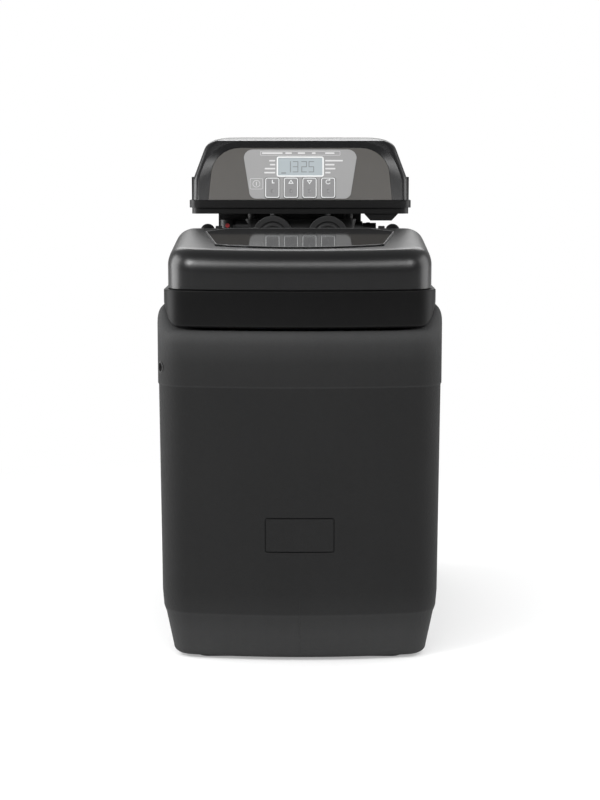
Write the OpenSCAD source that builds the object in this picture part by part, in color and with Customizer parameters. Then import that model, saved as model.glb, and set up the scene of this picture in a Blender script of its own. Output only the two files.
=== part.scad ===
// Cabinet water softener: salt tank, pressure vessel, rotary valve and control head.
// Millimetres, +Z up, front towards -Y, origin under the middle of the tank.

/* [Salt tank] */
// Width of the salt tank
tank_width = 317; // [310:1:340]
// Depth of the salt tank from front to back
tank_depth = 500; // [490:1:530]
// Height of the tank's shoulder at the sides and rear
tank_height = 396; // [380:1:420]
// Thickness of the tank's wall
tank_wall = 4; // [3:0.5:6]
// Radius of the tank's front corners, seen from above
front_corner_r = 42; // [38:1:50]
// Radius of the tank's rear corners, seen from above
rear_corner_r = 36; // [34:1:44]
// Radius of the bowed front, seen from above
front_bow_r = 650; // [560:10:900]
// Height of the two foot pads under the base
foot_height = 3; // [2:0.5:5]
// Width of each foot pad
foot_width = 70; // [50:1:80]
// Distance between the middles of the foot pads
foot_spacing = 160; // [130:1:165]
// Radius of the rounded bottom edge
base_edge_r = 8; // [6:0.5:10]
// Height of the line under which the skirt tapers in
skirt_height = 52; // [44:1:70]
// How far the skirt is drawn in at its foot at the sides and rear
skirt_taper = 15.5; // [12:0.5:18]
// How far the skirt is drawn in at its foot at the front
skirt_front_taper = 8; // [6:0.5:12]
// How far the wall steps in at the skirt's line
skirt_step = 3; // [1:0.5:4]
// How far the wall is drawn in from the belt down to the skirt
wall_draft = 2; // [1:0.5:5]
// Distance from the tank's rim down to the belt line
belt_drop = 88; // [78:1:110]
// How far the belt stands proud of the wall below it
belt_step = 1; // [0.5:0.1:2]
// Height of the rounded shoulder
shoulder_height = 18; // [12:1:22]
// Width of the rounded shoulder
shoulder_width = 9; // [6:0.5:11]
// Width of the flat rim inside the shoulder
rim_width = 11; // [8:0.5:14]
// How far the front of the tank is cut down for the collar's apron
apron_drop = 26; // [18:1:34]
// Width of the framed label field on the front
label_width = 77; // [50:1:100]
// Height of the framed label field on the front
label_height = 39; // [25:1:60]
// Height of the middle of the label field
label_middle_z = 145; // [115:1:185]
// Bore of the overflow port
overflow_bore_r = 5; // [4:0.25:6]
// Distance from the tank's rim down to the overflow port
overflow_drop = 68; // [60:1:74]

/* [Collar and lid] */
// Height of the collar above the tank's shoulder
collar_height = 18; // [14:1:24]
// How far the collar sits inside the tank's outline
collar_inset = 7.5; // [5:0.5:9]
// Thickness of the collar's rear deck
deck_thickness = 5; // [4:0.5:8]
// Gap under the apron at the front
apron_gap = 3; // [2:0.5:5]
// Width of the collar round the salt opening
mouth_border = 26; // [24:0.5:32]
// How far the lid sits inside the tank's outline
lid_inset = 12; // [11:0.5:15]
// Height of the lid at its front edge
lid_front_height = 42; // [34:1:50]
// How much the lid's top rises from front to rear
lid_rise = 17; // [10:1:22]
// Thickness of the lid's wall
lid_wall = 3; // [2.5:0.5:4]
// Radius of the lid's upper edge
lid_edge_r = 18; // [14:1:20]
// Height of the lid's ridge above its front edge
lid_ridge_rise = 18.2; // [17.2:0.2:22]
// Distance from the lid's rear edge to its ridge
lid_ridge_depth = 60; // [50:1:70]
// Distance from the hinge line to the vessel's axis
hinge_to_axis = 106; // [104:1:112]
// Distance between the two hinge knuckles
hinge_spacing = 226; // [200:1:236]
// Radius of the round hinge knuckles
knuckle_r = 9; // [8:0.5:9.5]
// Radius of the hinge pins
hinge_pin_r = 2.5; // [2:0.25:3]
// Thickness of the dress plate on the lid
plate_thickness = 1.6; // [1:0.1:2.5]

/* [Pressure vessel and brine] */
// Outer radius of the pressure vessel
vessel_r = 103; // [96:1:105]
// Wall of the pressure vessel
vessel_wall = 3; // [2.5:0.5:5]
// Outer radius of the vessel's neck
neck_r = 38; // [36:1:41]
// Height of the vessel's neck above the collar's deck
neck_rise = 32; // [30:1:40]
// Gap between the vessel and the outside of the tank's rear wall
vessel_rear_gap = 29; // [27:1:34]
// Outer radius of the riser tube
riser_r = 13.5; // [12:0.5:15]
// Outer radius of the brine well
well_r = 38; // [35:1:40]
// Distance from the tank's rim down to the brine well's top
well_headroom = 59; // [50:1:75]
// Outer radius of the brine tube
brine_tube_r = 4.75; // [4:0.25:5]
// Height of the float
float_height = 60; // [50:1:80]
// Travel of the float
float_travel = 60; // [40:1:80]

/* [Valve] */
// Height of the valve body
valve_height = 36; // [35:1:40]
// Distance between the two front caps
cap_spacing = 68; // [62:1:72]
// Outer radius of the front caps
cap_r = 25; // [24:0.5:27]
// Outer radius of the pipe spigots, a one inch pipe thread
spigot_r = 16.6; // [15:0.1:18]
// Bore of the pipe spigots
spigot_bore_r = 12; // [10:0.5:13]
// Length of the pipe spigots
spigot_length = 44; // [34:1:50]
// Distance between the two pipe spigots
spigot_spacing = 84; // [78:1:92]
// Radius of the valve discs
disc_r = 34; // [30:0.5:35]
// Outer radius of the drain hose tail
drain_tail_r = 6.5; // [5.5:0.25:7]

/* [Control head] */
// Half width of the tray's upper rim
tray_half_width = 137; // [135:0.5:140]
// Depth of the tray from front to back
tray_depth = 175; // [170:1:185]
// Height of the tray
tray_height = 16.5; // [15:0.5:20]
// Half width of the hood at its foot
hood_half_width = 133; // [130:0.2:134]
// Height of the hood
hood_height = 77; // [74:1:84]
// Height of the hood's rounded upper part
hood_round_height = 52; // [46:1:54]
// How far the hood's upper corners draw in
hood_round_width = 38; // [30:1:46]
// Wall of the hood
hood_wall = 3; // [2.5:0.5:4]
// Lean of the hood's face from upright, in degrees
face_tilt = 20; // [16:1:24]
// Half width of the fascia at its foot
fascia_half_width = 114; // [110:0.5:116]
// Length of the fascia up its slope
fascia_length = 69; // [67:0.5:71]
// Width of the buttons
button_width = 18; // [15:0.5:20]
// Length of the buttons up the slope
button_length = 26.5; // [22:0.5:27.5]
// Distance between the middles of the buttons
button_pitch = 23; // [22:0.5:25]
// Travel of the buttons
button_travel = 1.5; // [1:0.1:2]
// Width of the display window
display_width = 57; // [50:1:64]
// Length of the display window up the slope
display_length = 25; // [20:0.5:26]

/* [Gears] */
// Tooth count of the drive gear
drive_teeth = 48; // [48:4:56]
// Tooth count of both pinions
pinion_teeth = 12; // [12:4:12]
// Tooth count of the large intermediate gear
idler_teeth = 36; // [32:4:40]
// Tooth module of the pair at the valve stem
stem_module = 1.5; // [1.4:0.05:1.6]
// Tooth module of the pair at the motor
motor_module = 1; // [0.9:0.05:1.1]

/* [Fits] */
// Gap between pieces of different bodies
body_gap = 0.4; // [0.3:0.05:0.6]
// Radial gap of a running fit
running_gap = 0.1; // [0.05:0.01:0.15]
// Gap between pieces that are seated in each other
seat_gap = 0.15; // [0.1:0.05:0.25]

/* [Hidden] */
$fn = 48;
eps = 0.5;

// Places shared by the cabinet's pieces
half_w = tank_width / 2;
front_y = -tank_depth / 2;
rear_y = tank_depth / 2;
floor_z = foot_height + tank_wall;
belt_height = tank_height - belt_drop;
overflow_z = tank_height - overflow_drop;
skirt_relief = skirt_taper - skirt_front_taper;
base_top_z = foot_height + base_edge_r;
corner_middle_y = front_y + front_bow_r
    - sqrt(pow(front_bow_r - front_corner_r, 2) - pow(half_w - front_corner_r, 2));
skirt_fade = 22;
wall_thickening = 1.5;
grommet_wall = 2;
axis_y = rear_y - vessel_rear_gap - vessel_r;
deck_z = tank_height + collar_height;
min_corner_r = 16;
label_corner_r = 3;

// Steps along the round stretches of an outline
corner_steps = 8;
front_steps = 14;
edge_steps = 5;

// Stretch of the front corner over which the tank's rim drops to the apron's seat
dip_front_y = front_y + 25;
dip_rear_y = front_y + 50;
dip_lead = 3;

// Hinge and lid
hinge_y = axis_y - hinge_to_axis;
lid_rear_gap = 1;
lid_rear_y = hinge_y - knuckle_r - lid_rear_gap;
lid_front_y = front_y + lid_inset;
lid_z = deck_z + body_gap;
lid_top_front_z = deck_z + lid_front_height;
lid_ridge_y = lid_rear_y - lid_ridge_depth;
lid_slope = lid_ridge_rise / (lid_ridge_y - lid_front_y);
lid_back_slope = (lid_rise - lid_ridge_rise) / lid_ridge_depth;
lid_front_fall = 0.33;
lid_slope_angle = atan(lid_slope);
lid_rear_corner_r = 14;
lid_rear_edge_r = 4;
lid_corner_extra = 6;
hinge_below_top = 4;
hinge_z = lid_top_front_z + lid_rise - hinge_below_top;
ear_thickness = 8;
ear_r = 7.5;
ear_top = hinge_z + hinge_below_top - 1;
ear_bottom = hinge_z - ear_r + 1.5;
ear_outer_x = hinge_spacing / 2 - knuckle_r - body_gap;
ear_inner_x = ear_outer_x - ear_thickness;
post_half_width = knuckle_r - 1;
post_front = 5;
post_rear = 9;

// Salt opening in the collar
mouth_half_w = half_w - collar_inset - mouth_border;
mouth_front_y = front_y + collar_inset + 18.5;
mouth_rear_y = hinge_y - 22;
mouth_corner_r = 20;
collar_lip = 10.5;
collar_edge_r = 4;
collar_top_edge = 1.5;
collar_seat = 1;
neck_hole_gap = 3;
deck_border = 40;

// Vessel and what it holds
dome_clearance = 8;
vessel_lift = 6;
vessel_base_z = floor_z + vessel_lift;
base_dome_h = 40;
top_dome_h = 55;
dome_top_z = deck_z - deck_thickness - dome_clearance;
vessel_top_z = deck_z + neck_rise;
neck_wall = 6;
neck_inner_r = neck_r - neck_wall;
neck_seal_r = (neck_r + neck_inner_r) / 2;
dome_steps = 12;
boot_first = 3;
boot_last = 6;
resin_fill = 0.62;
resin_top_z = vessel_base_z + (dome_top_z - vessel_base_z) * resin_fill;
distributor_r = 22;
distributor_height = 40;
distributor_lift = 3;
distributor_z = vessel_base_z + vessel_wall + distributor_lift;
riser_wall = 2.5;
riser_lift = 15;
riser_socket = 12;
plug_depth = 22;
slot_count = 8;
slot_width = 2;

// Brine well, float and tube
well_side_gap = 38.5;
well_mouth_gap = 7;
well_x = well_r + well_side_gap - half_w;
well_y = mouth_rear_y - well_r - well_mouth_gap;
well_wall = 2.5;
well_slot_width = 4;
well_slot_height = 40;
well_slot_lift = 12;
well_cap_lip = 2;
well_cap_plug = 8;
pickup_wall = 2;
brine_valve_foot = 4;
brine_port_r = 3;
brine_port_lift = 14;
brine_port_step = 8;
well_top_z = tank_height - well_headroom;
well_cap_thickness = 4;
pickup_r = 6;
brine_valve_r = 14;
brine_valve_height = 35;
float_r = well_r - well_wall - 6;
float_z = floor_z + brine_valve_height + 25;
float_gap = 0.4;
pickup_stub = 8;
tube_bend_r = 20;
tube_run_z = well_top_z + pickup_stub + tube_bend_r + 10;
tube_sides = 10;
bend_steps = 6;

// Valve
valve_top_z = vessel_top_z + valve_height;
cap_z = vessel_top_z + 16;
boss_r = cap_r - 6;
cap_front_y = axis_y - 94;
cap_depth = 20;
cap_face = 5;
cap_gasket = 5;
cap_groove_inset = 7;
cap_groove_width = 3;
cap_groove_depth = 2;
cap_dimple_inset = 13;
cap_dimple_depth = 1.2;
gasket_inset = 0.5;
gasket_width = 2;
boss_floor = 3;
boss_front_y = cap_front_y + cap_face + cap_gasket;
boss_rear_y = axis_y - neck_r - 2;
meter_bore_r = boss_r - 3;
injector_bore_r = boss_r - 9;
injector_setback = 8;
injector_jet_r = 1.5;
injector_mouth_r = 6;
injector_mouth_depth = 12;
turbine_axle_r = 1.5;
turbine_setback = 10;
turbine_front_y = boss_front_y + turbine_setback;
turbine_length = 16;
turbine_axle_end = 3;
turbine_collar = 1.5;
turbine_hub_r = 4;
turbine_tip_gap = 1;
blade_thickness = 1.6;
manifold_half_w = 70;
manifold_front_y = axis_y - 58;
manifold_rear_y = axis_y + 47;
manifold_lift = 4;
manifold_corner_r = 10;
neck_flange = 6;
neck_flange_height = 10;
neck_seal_cord_r = 1.5;
seal_play = 0.2;
flow_hole_r = 3.5;
flow_hole_depth = 8;
stub_seat = 6;
chamber_depth = 16;
chamber_r = disc_r + 2;
chamber_z = valve_top_z - chamber_depth;
disc_thickness = 5;
disc_top_z = chamber_z + 2 * disc_thickness + body_gap;
stem_r = 5;
stem_foot_r = 12;
stem_foot_h = 4;
stem_seal_cord_r = 1.45;
bonnet_r = chamber_r + 10;
bonnet_height = 6;
bonnet_screw_ring = chamber_r + 5;
spigot_z = vessel_top_z + 17;
port_rear_y = manifold_rear_y + 3;
port_r = spigot_r + 1.4;
adapter_plug_r = 13.5;
adapter_plug_length = 14;
adapter_flange = 4;
adapter_bore_r = 9;
adapter_seal_r = 0.9;
adapter_seal_back = 6.5;
adapter_groove_half = 1.5;
clip_thickness = 2;
clip_gap_width = 16;
elbow_x = -91;
elbow_y = axis_y - 48;
elbow_z = vessel_top_z + 26;
elbow_r = 9;
elbow_stub_r = 6;
elbow_bore_r = 3;
tube_stop = 2;
release_r = 2;
release_lift = 2;
release_head = 0.6;
port_left_x = elbow_x + elbow_r + 1;
head_wall_y = elbow_y + elbow_r + 1.5;
head_wall_thickness = 6;
bracket_left_x = elbow_x - 12;
bracket_right_x = manifold_half_w + 6.5;
bracket_inner_x = disc_r + 4;
drain_y = axis_y - 46;
drain_z = vessel_top_z + 24;
drain_port_x = manifold_half_w + 8;
drain_stub_r = 5;
drain_barrel_r = 7;
drain_tail_length = 42;
drain_bore_r = 3;
tail_bore_r = 3.5;
barb_depth = 0.8;
barb_pitch = 7;
barb_length = 6;
drain_end_x = drain_port_x + 17;

// Control head
bonnet_to_tray = 1.5;
tray_z = valve_top_z + bonnet_height + bonnet_to_tray;
tray_top_z = tray_z + tray_height;
tray_floor = 3;
tray_floor_z = tray_z + tray_floor;
tray_front_y = axis_y - 88;
tray_rear_y = tray_front_y + tray_depth;
tray_step = 3;
tray_step_z = tray_z + tray_height * 0.45;
tray_corner_r = 14;
rim_margin = 4;
tray_front_rim = 9;
tray_post_x = 60;
tray_post_front_y = manifold_front_y + 10;
tray_post_rear_y = manifold_rear_y - 7;
tray_post_r = 6;
screw_r = 1.6;
screw_head_r = 3.2;
screw_head_h = 2.2;
screw_length = 10;
hood_z = tray_top_z + body_gap;
hood_straight = hood_height - hood_round_height;
hood_corner_r = 10;
hood_shares = [0, 0.31, 0.54, 0.71, 0.83, 0.908, 0.97, 1];
hood_draft = 0.36;
hood_shoulder_h = 17;
hood_fullness = 0.7;
hood_brow_h = hood_straight + hood_round_height * hood_shares[5];
hood_brow_depth = 30;
hood_rear_round = 30;
face_y = tray_front_y + rim_margin;
hood_rear_y = tray_rear_y - rim_margin;
socket_x = 100;
socket_half_top = 21;
socket_half_foot = 13;
socket_height = 8.5;
socket_depth = 30;
socket_setback = 2;
jack_r = 2.8;
jack_depth = 14;
ear_tab_thickness = 3.4;
ear_tab_height = 28;
ear_tab_depth = 34;

// Depths behind the hood's face, and lengths up its slope
fascia_recess = 2.5;
fascia_thickness = 3;
fascia_lean = 3;
fascia_corner_r = 36;
fascia_back = fascia_recess + fascia_thickness;
overlay_thickness = 0.6;
overlay_half_top = 70;
overlay_half_foot = 63;
overlay_foot_s = 2.2;
overlay_top_s = 66.5;
button_foot_s = 3;
button_proud = 0.7;
button_flange = 0.8;
button_flange_h = 1.6;
button_corner_r = 3;
display_foot_s = button_foot_s + button_length + 2;
board_depth = 13;
board_thickness = 1.6;
board_half_w = 76;
board_foot_s = 3;
board_top_s = 62;
board_post_x = 68;
board_post_r = 3;
switch_gap = 0.2;
flange_back = fascia_back + body_gap + button_flange_h;
button_names = ["button_clock", "button_up", "button_down", "button_cycle"];

// Gear train
stem_centres = stem_module * (drive_teeth + pinion_teeth) / 2;
motor_centres = motor_module * (idler_teeth + pinion_teeth) / 2;
idler_x = stem_centres;
motor_x = stem_centres + motor_centres;
gear_lift = 3.5;
gear_width = 8;
half_tooth = 180 / pinion_teeth;
gear_z = tray_floor_z + gear_lift;
upper_gear_z = gear_z + gear_width + 1;
upper_gear_width = 6;
idler_axle_r = 2.5;
bracket_z = upper_gear_z + upper_gear_width + 2.5;
bracket_thickness = 2.5;
bracket_leg_t = 5;
bracket_half_depth = 27;
bracket_idler_edge = 8;
bracket_motor_edge = 5;
bracket_leg_setback = 6;
motor_z = bracket_z + bracket_thickness;
motor_r = 17.5;
motor_height = 22;
motor_shaft_r = 2;
motor_ear_y = motor_r + 4;
motor_ear_r = 4;
motor_ear_h = 2;

// Points along an arc from one angle to another
function arc(cx, cy, r, from, to, steps) =
    [for (i = [0 : steps]) let (a = from + (to - from) * i / steps) [cx + r * cos(a), cy + r * sin(a)]];

// Corner points of a rectangle with round corners
function rounded_rect(x0, y0, x1, y1, r, steps = corner_steps) = concat(
    arc(x1 - r, y0 + r, r, -90, 0, steps),
    arc(x1 - r, y1 - r, r, 0, 90, steps),
    arc(x0 + r, y1 - r, r, 90, 180, steps),
    arc(x0 + r, y0 + r, r, 180, 270, steps));

// Outline with a bowed front: the corners are tangent to the bow and to the sides
function bowed_plan(half, front, rear, corner, rear_corner, bow) =
    let (reach = half - corner)
    let (corner_y = front + bow - sqrt(pow(bow - corner, 2) - pow(reach, 2)))
    let (sweep = asin(reach / (bow - corner)))
    concat(
        [for (i = [1 : front_steps - 1])
            let (t = sweep * (2 * i / front_steps - 1)) [bow * sin(t), front + bow - bow * cos(t)]],
        arc(reach, corner_y, corner, sweep - 90, 0, corner_steps),
        arc(half - rear_corner, rear - rear_corner, rear_corner, 0, 90, corner_steps),
        arc(rear_corner - half, rear - rear_corner, rear_corner, 90, 180, corner_steps),
        arc(-reach, corner_y, corner, 180, 270 - sweep, corner_steps));

// The tank's outline drawn in by a distance, less a relief at the front
function tank_plan(inset, relief = 0) = bowed_plan(
    half_w - inset, front_y + inset - relief, rear_y - inset,
    max(front_corner_r - inset, min_corner_r), max(rear_corner_r - inset, min_corner_r), front_bow_r - inset);

// A ring at one height
function level(plan, z) = [for (p = plan) [p[0], p[1], z]];

// How far the rim has dropped at a distance from the front, from 1 at the apron to 0 at the sides
function dip(y) =
    let (t = max(0, min(1, (dip_rear_y - y) / (dip_rear_y - dip_front_y))))
    t * t * (3 - 2 * t);

// Closed solid through rings of equal count: capped at both ends, or a tube that ends where it starts
module loft(rings, tube = false, fold = undef) {
    n = len(rings[0]);
    last = len(rings) - 1;
    points = [for (ring = rings) each ring];
    sides = [for (k = [0 : tube ? last : last - 1], i = [0 : n - 1])
        let (next = (k + 1) % (last + 1), j = (i + 1) % n)
        each [[k * n + i, next * n + i, next * n + j], [k * n + i, next * n + j, k * n + j]]];
    first_cap = [for (i = [0 : n - 1]) i];
    last_cap = [for (i = [0 : n - 1]) last * n + n - 1 - i];
    caps = is_undef(fold) ? [first_cap, last_cap] : [for (cap = [first_cap, last_cap], side = [-1, 1])
        [for (i = cap) if (side * (points[i][1] - fold) >= -0.001) i]];
    polyhedron(points, tube ? sides : concat(sides, caps));
}

// A cylinder from one height to another
module pillar(r, z0, z1) {
    translate([0, 0, z0]) cylinder(r = r, h = z1 - z0);
}

// A cylinder lying along Y from front to rear
module along_y(r, y0, y1) {
    translate([0, y0, 0]) rotate([-90, 0, 0]) cylinder(r = r, h = y1 - y0);
}

// A cylinder lying along X
module along_x(r, x0, x1) {
    translate([x0, 0, 0]) rotate([0, 90, 0]) cylinder(r = r, h = x1 - x0);
}

// A tube or ring about Z
module ring(outer, inner, z0, z1) {
    difference() {
        pillar(outer, z0, z1);
        pillar(inner, z0 - eps, z1 + eps);
    }
}

// A round seal about Z
module seal_ring(r, cord_r, z) {
    translate([0, 0, z]) rotate_extrude() translate([r, 0]) circle(r = cord_r, $fn = 24);
}

// A pan-head screw pointing down, its head's underside at the origin
module screw(length) {
    pillar(screw_r - running_gap, -length, 0);
    difference() {
        pillar(screw_head_r, 0, screw_head_h);
        translate([-screw_head_r * 0.7, -0.4, screw_head_h - 1])
            cube([screw_head_r * 1.4, 0.8, 2]);
    }
}

// The moulding's floor with its rounded lower edge and its foot pads, drawn apart from the walls
module tank_base() {
    base_rings = [for (i = [0 : edge_steps])
        let (a = 90 * i / edge_steps)
        level(tank_plan(skirt_taper + base_edge_r * (1 - sin(a)), skirt_relief),
            foot_height + base_edge_r * (1 - cos(a)))];
    inner_rings = [
        level(tank_plan(skirt_taper + tank_wall, skirt_relief), base_top_z),
        level(tank_plan(skirt_taper + base_edge_r * 0.7 + tank_wall, skirt_relief), floor_z)];
    color("#2b2c2e") {
        loft(concat(base_rings, inner_rings));
        for (side = [-1, 1]) foot_pad(side);
    }
}

// The moulding's walls, drawn as four panels that meet in the corners so that the inside stays open
module tank() {
    rim_inset = shoulder_width + rim_width;
    lip_drop = 5;
    wall_inset = belt_step + wall_draft;
    wall_rings = [
        level(tank_plan(skirt_taper, skirt_relief), base_top_z + seat_gap),
        level(tank_plan(wall_inset + skirt_step, skirt_relief * 0.4), skirt_height),
        level(tank_plan(wall_inset, skirt_relief * 0.2), skirt_height + skirt_fade),
        level(tank_plan(belt_step), belt_height),
        level(tank_plan(0), belt_height + 1.2)];
    shoulder_rings = [for (i = [0 : edge_steps])
        let (a = 90 * i / edge_steps)
        top_ring(shoulder_width * (1 - cos(a)), shoulder_height * (1 - sin(a)))];
    inner_rings = [
        top_ring(rim_inset, 0),
        top_ring(rim_inset, lip_drop),
        top_ring(tank_wall + wall_thickening, shoulder_height),
        level(tank_plan(belt_step + tank_wall), belt_height),
        level(tank_plan(wall_inset + skirt_step + tank_wall, skirt_relief * 0.4), skirt_height),
        level(tank_plan(skirt_taper + tank_wall, skirt_relief), base_top_z + seat_gap)];
    color("#2b2c2e") difference() {
        loft(concat(wall_rings, shoulder_rings, inner_rings), tube = true);
        overflow_place() along_x(overflow_bore_r + grommet_wall, -front_corner_r, front_corner_r / 2);
        label_groove();
        for (y = [corner_middle_y - front_corner_r * sin(45), rear_y - rear_corner_r * (1 - sin(45))])
            translate([-tank_width, y, 0]) cube([2 * tank_width, running_gap, 2 * tank_height]);
    }
}

// A ring of the tank's rim, a distance below its top, lower at the front
function top_ring(inset, drop) =
    [for (p = tank_plan(inset)) [p[0], p[1], tank_height - drop - apron_drop * dip(p[1] - dip_lead)]];

// One foot pad, kept inside the tank's base
module foot_pad(side) {
    pad_inset = skirt_taper + base_edge_r + 1;
    pad_x = side * foot_spacing / 2;
    linear_extrude(foot_height + 1) intersection() {
        polygon(tank_plan(pad_inset, skirt_relief));
        translate([pad_x - foot_width / 2, -tank_depth]) square([foot_width, 2 * tank_depth]);
    }
}

// Thin groove round the label field, cut to one depth at the field's edges
module label_groove() {
    groove_width = 1.2;
    groove_depth = 0.7;
    draft = wall_draft * (belt_height - label_middle_z) / (belt_height - skirt_height - skirt_fade);
    bow = pow(label_width / 2, 2) / (2 * front_bow_r);
    bottom_y = front_y + belt_step + draft + bow + groove_depth;
    translate([0, bottom_y, label_middle_z]) rotate([90, 0, 0]) linear_extrude(10) difference() {
        polygon(label_outline(0));
        polygon(label_outline(groove_width));
    }
}

function label_outline(inset) = rounded_rect(
    inset - label_width / 2, inset - label_height / 2, label_width / 2 - inset, label_height / 2 - inset,
    label_corner_r - inset);

// The left front corner, where the overflow port goes through the wall
module overflow_place() {
    turn = 26;
    translate([front_corner_r - half_w, corner_middle_y, overflow_z]) rotate([0, 0, turn])
        translate([-front_corner_r, 0, 0]) children();
}

module overflow_grommet() {
    flange_r = overflow_bore_r + grommet_wall + 2;
    flange_thickness = 1.8;
    lip = 0.3;
    inner_r = front_corner_r - tank_wall - wall_thickening;
    seat_x = front_corner_r - sqrt(pow(inner_r, 2) - pow(flange_r, 2)) + seat_gap;
    color("#1c1c1d") overflow_place() difference() {
        union() {
            along_x(overflow_bore_r + grommet_wall - seat_gap, -lip, seat_x + flange_thickness);
            along_x(flange_r, seat_x, seat_x + flange_thickness);
        }
        along_x(overflow_bore_r, -lip - eps, seat_x + flange_thickness + eps);
    }
}

// A ring of the collar's lower edge, lower at the apron
function apron_ring(inset, lift) =
    [for (p = tank_plan(inset))
        [p[0], p[1], tank_height + lift - (apron_drop - apron_gap) * dip(p[1])]];

module collar() {
    lip = collar_inset + collar_lip;
    rings = [
        level(tank_plan(lip), tank_height + collar_seat),
        apron_ring(lip, 0),
        apron_ring(collar_inset + collar_edge_r, 0),
        apron_ring(collar_inset + collar_edge_r * 0.3, collar_edge_r * 0.3),
        apron_ring(collar_inset, collar_edge_r),
        level(tank_plan(collar_inset), deck_z - collar_top_edge),
        level(tank_plan(collar_inset + collar_top_edge), deck_z)];
    deck_half_w = half_w - deck_border;
    color("#1a1a1b") difference() {
        union() {
            loft(rings);
            for (side = [-1, 1]) translate([side * hinge_spacing / 2, hinge_y, 0]) hinge_post();
        }
        translate([0, 0, tank_height - apron_drop]) linear_extrude(collar_height + 2 * apron_drop)
            polygon(rounded_rect(-mouth_half_w, mouth_front_y, mouth_half_w, mouth_rear_y, mouth_corner_r));
        translate([0, 0, tank_height - eps]) linear_extrude(collar_height - deck_thickness + eps)
            polygon(rounded_rect(
                -deck_half_w, mouth_rear_y + deck_thickness, deck_half_w, rear_y - deck_border, mouth_corner_r));
        translate([0, axis_y, 0]) pillar(neck_r + neck_hole_gap, tank_height, deck_z + 1);
        translate([elbow_x, elbow_y, 0]) pillar(brine_tube_r + body_gap, tank_height, deck_z + 1);
        translate([0, hinge_y, hinge_z]) along_x(hinge_pin_r + seat_gap, -half_w, half_w);
    }
}

// Upright post with a round knuckle on the hinge line
module hinge_post() {
    translate([-post_half_width, -post_front, deck_z - 1])
        cube([2 * post_half_width, post_front + post_rear, hinge_z - deck_z + 1]);
    translate([0, 0, hinge_z]) sphere(r = knuckle_r);
}

module hinge_pins() {
    color("silver") for (side = [-1, 1]) translate([0, hinge_y, hinge_z]) mirror([side < 0 ? 1 : 0, 0, 0])
        along_x(hinge_pin_r, ear_inner_x - 2, hinge_spacing / 2 + post_half_width);
}

// The lid's outline drawn in by a distance, and by another at its rear
function lid_plan(inset, rear) = ridged(bowed_plan(
    half_w - lid_inset - inset, lid_front_y + inset, lid_rear_y - rear,
    max(front_corner_r - lid_inset + lid_corner_extra - inset, min_corner_r),
    max(lid_rear_corner_r - inset, min_corner_r / 2),
    front_bow_r - lid_inset - inset));

// An outline with a point on the ridge at each side
function ridged(plan) = [for (i = [0 : len(plan) - 1])
    let (a = plan[i], b = plan[(i + 1) % len(plan)], crosses = (a[1] - lid_ridge_y) * (b[1] - lid_ridge_y) < 0)
    each crosses ? [a, a + (b - a) * (lid_ridge_y - a[1]) / (b[1] - a[1])] : [a]];

// Height of the lid's top, which falls to the front and a little to the rear of its ridge
function lid_top(y) = lid_top_front_z + (y < lid_ridge_y
    ? lid_slope * (y - lid_front_y)
    : lid_ridge_rise + lid_back_slope * (y - lid_ridge_y));

// How much deeper the lid's edge rounds over at the front than at the sides
function lid_fall(y) = 1 + lid_front_fall * max(0, min(1, (lid_front_y + 60 - y) / 50));

// A ring of the lid, below its top by an even depth and by a drop of its rounded edge
function lid_ring(inset, drop, rear, depth = 0) =
    [for (p = lid_plan(inset, rear)) [p[0], p[1], lid_top(p[1]) - depth - drop * lid_fall(p[1])]];

module lid() {
    edge_rings = [for (i = [0 : edge_steps + 1])
        let (a = 90 * i / (edge_steps + 1))
        lid_ring(lid_edge_r * (1 - cos(a)), lid_edge_r * (1 - sin(a)), lid_rear_edge_r * (1 - cos(a)))];
    inner_rings = [
        lid_ring(lid_edge_r, 0, lid_wall + lid_rear_edge_r, lid_wall),
        lid_ring(lid_wall + lid_edge_r * 0.3, lid_edge_r * 0.3, lid_wall + lid_rear_edge_r * 0.3, lid_wall),
        lid_ring(lid_wall, lid_edge_r, lid_wall),
        level(lid_plan(lid_wall, lid_wall), lid_z)];
    color("#1d1d1e") difference() {
        union() {
            loft(concat(inner_rings, [level(lid_plan(0, 0), lid_z)], edge_rings), fold = lid_ridge_y);
            for (side = [-1, 1]) mirror([side < 0 ? 1 : 0, 0, 0]) lid_ear();
        }
        for (side = [-1, 1]) mirror([side < 0 ? 1 : 0, 0, 0])
            translate([0, hinge_y, hinge_z])
                along_x(hinge_pin_r + running_gap, ear_inner_x - 1, ear_outer_x + 1);
    }
}

// Ear on the lid's rear edge that turns on the hinge pin
module lid_ear() {
    root_y = lid_rear_y - lid_edge_r * 0.6;
    translate([ear_inner_x, root_y, ear_bottom])
        cube([ear_thickness, hinge_y - root_y, ear_top - ear_bottom]);
    translate([0, hinge_y, hinge_z]) along_x(ear_r, ear_inner_x, ear_outer_x);
}

// Six-sided dress plate with a bowed front edge, lying on the lid's slope
module lid_plate() {
    rear_half = 82;
    side_half = 110.5;
    front_half = 94.3;
    rear_y = lid_ridge_y - 3;
    side_y = lid_ridge_y - 29;
    front_gap = 50;
    bow_gap = 29;
    bow_depth = front_gap - bow_gap;
    bow = [for (i = [0 : front_steps])
        let (t = 2 * i / front_steps - 1) [front_half * t, lid_front_y + bow_gap + bow_depth * t * t]];
    outline = concat(bow, [
        [side_half, side_y],
        [rear_half, rear_y],
        [-rear_half, rear_y],
        [-side_half, side_y]]);
    color("#0c0c0d") translate([0, lid_front_y, lid_top_front_z + seat_gap]) rotate([lid_slope_angle, 0, 0])
        linear_extrude(plate_thickness) polygon([for (p = outline) [p[0], p[1] - lid_front_y]]);
}

// Half outline of a dome in r and z, from its rim to its crown
function dome_down(r, h, rim_z) =
    [for (i = [0 : dome_steps]) let (a = 90 * i / dome_steps) [r * cos(a), rim_z - h * sin(a)]];

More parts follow.
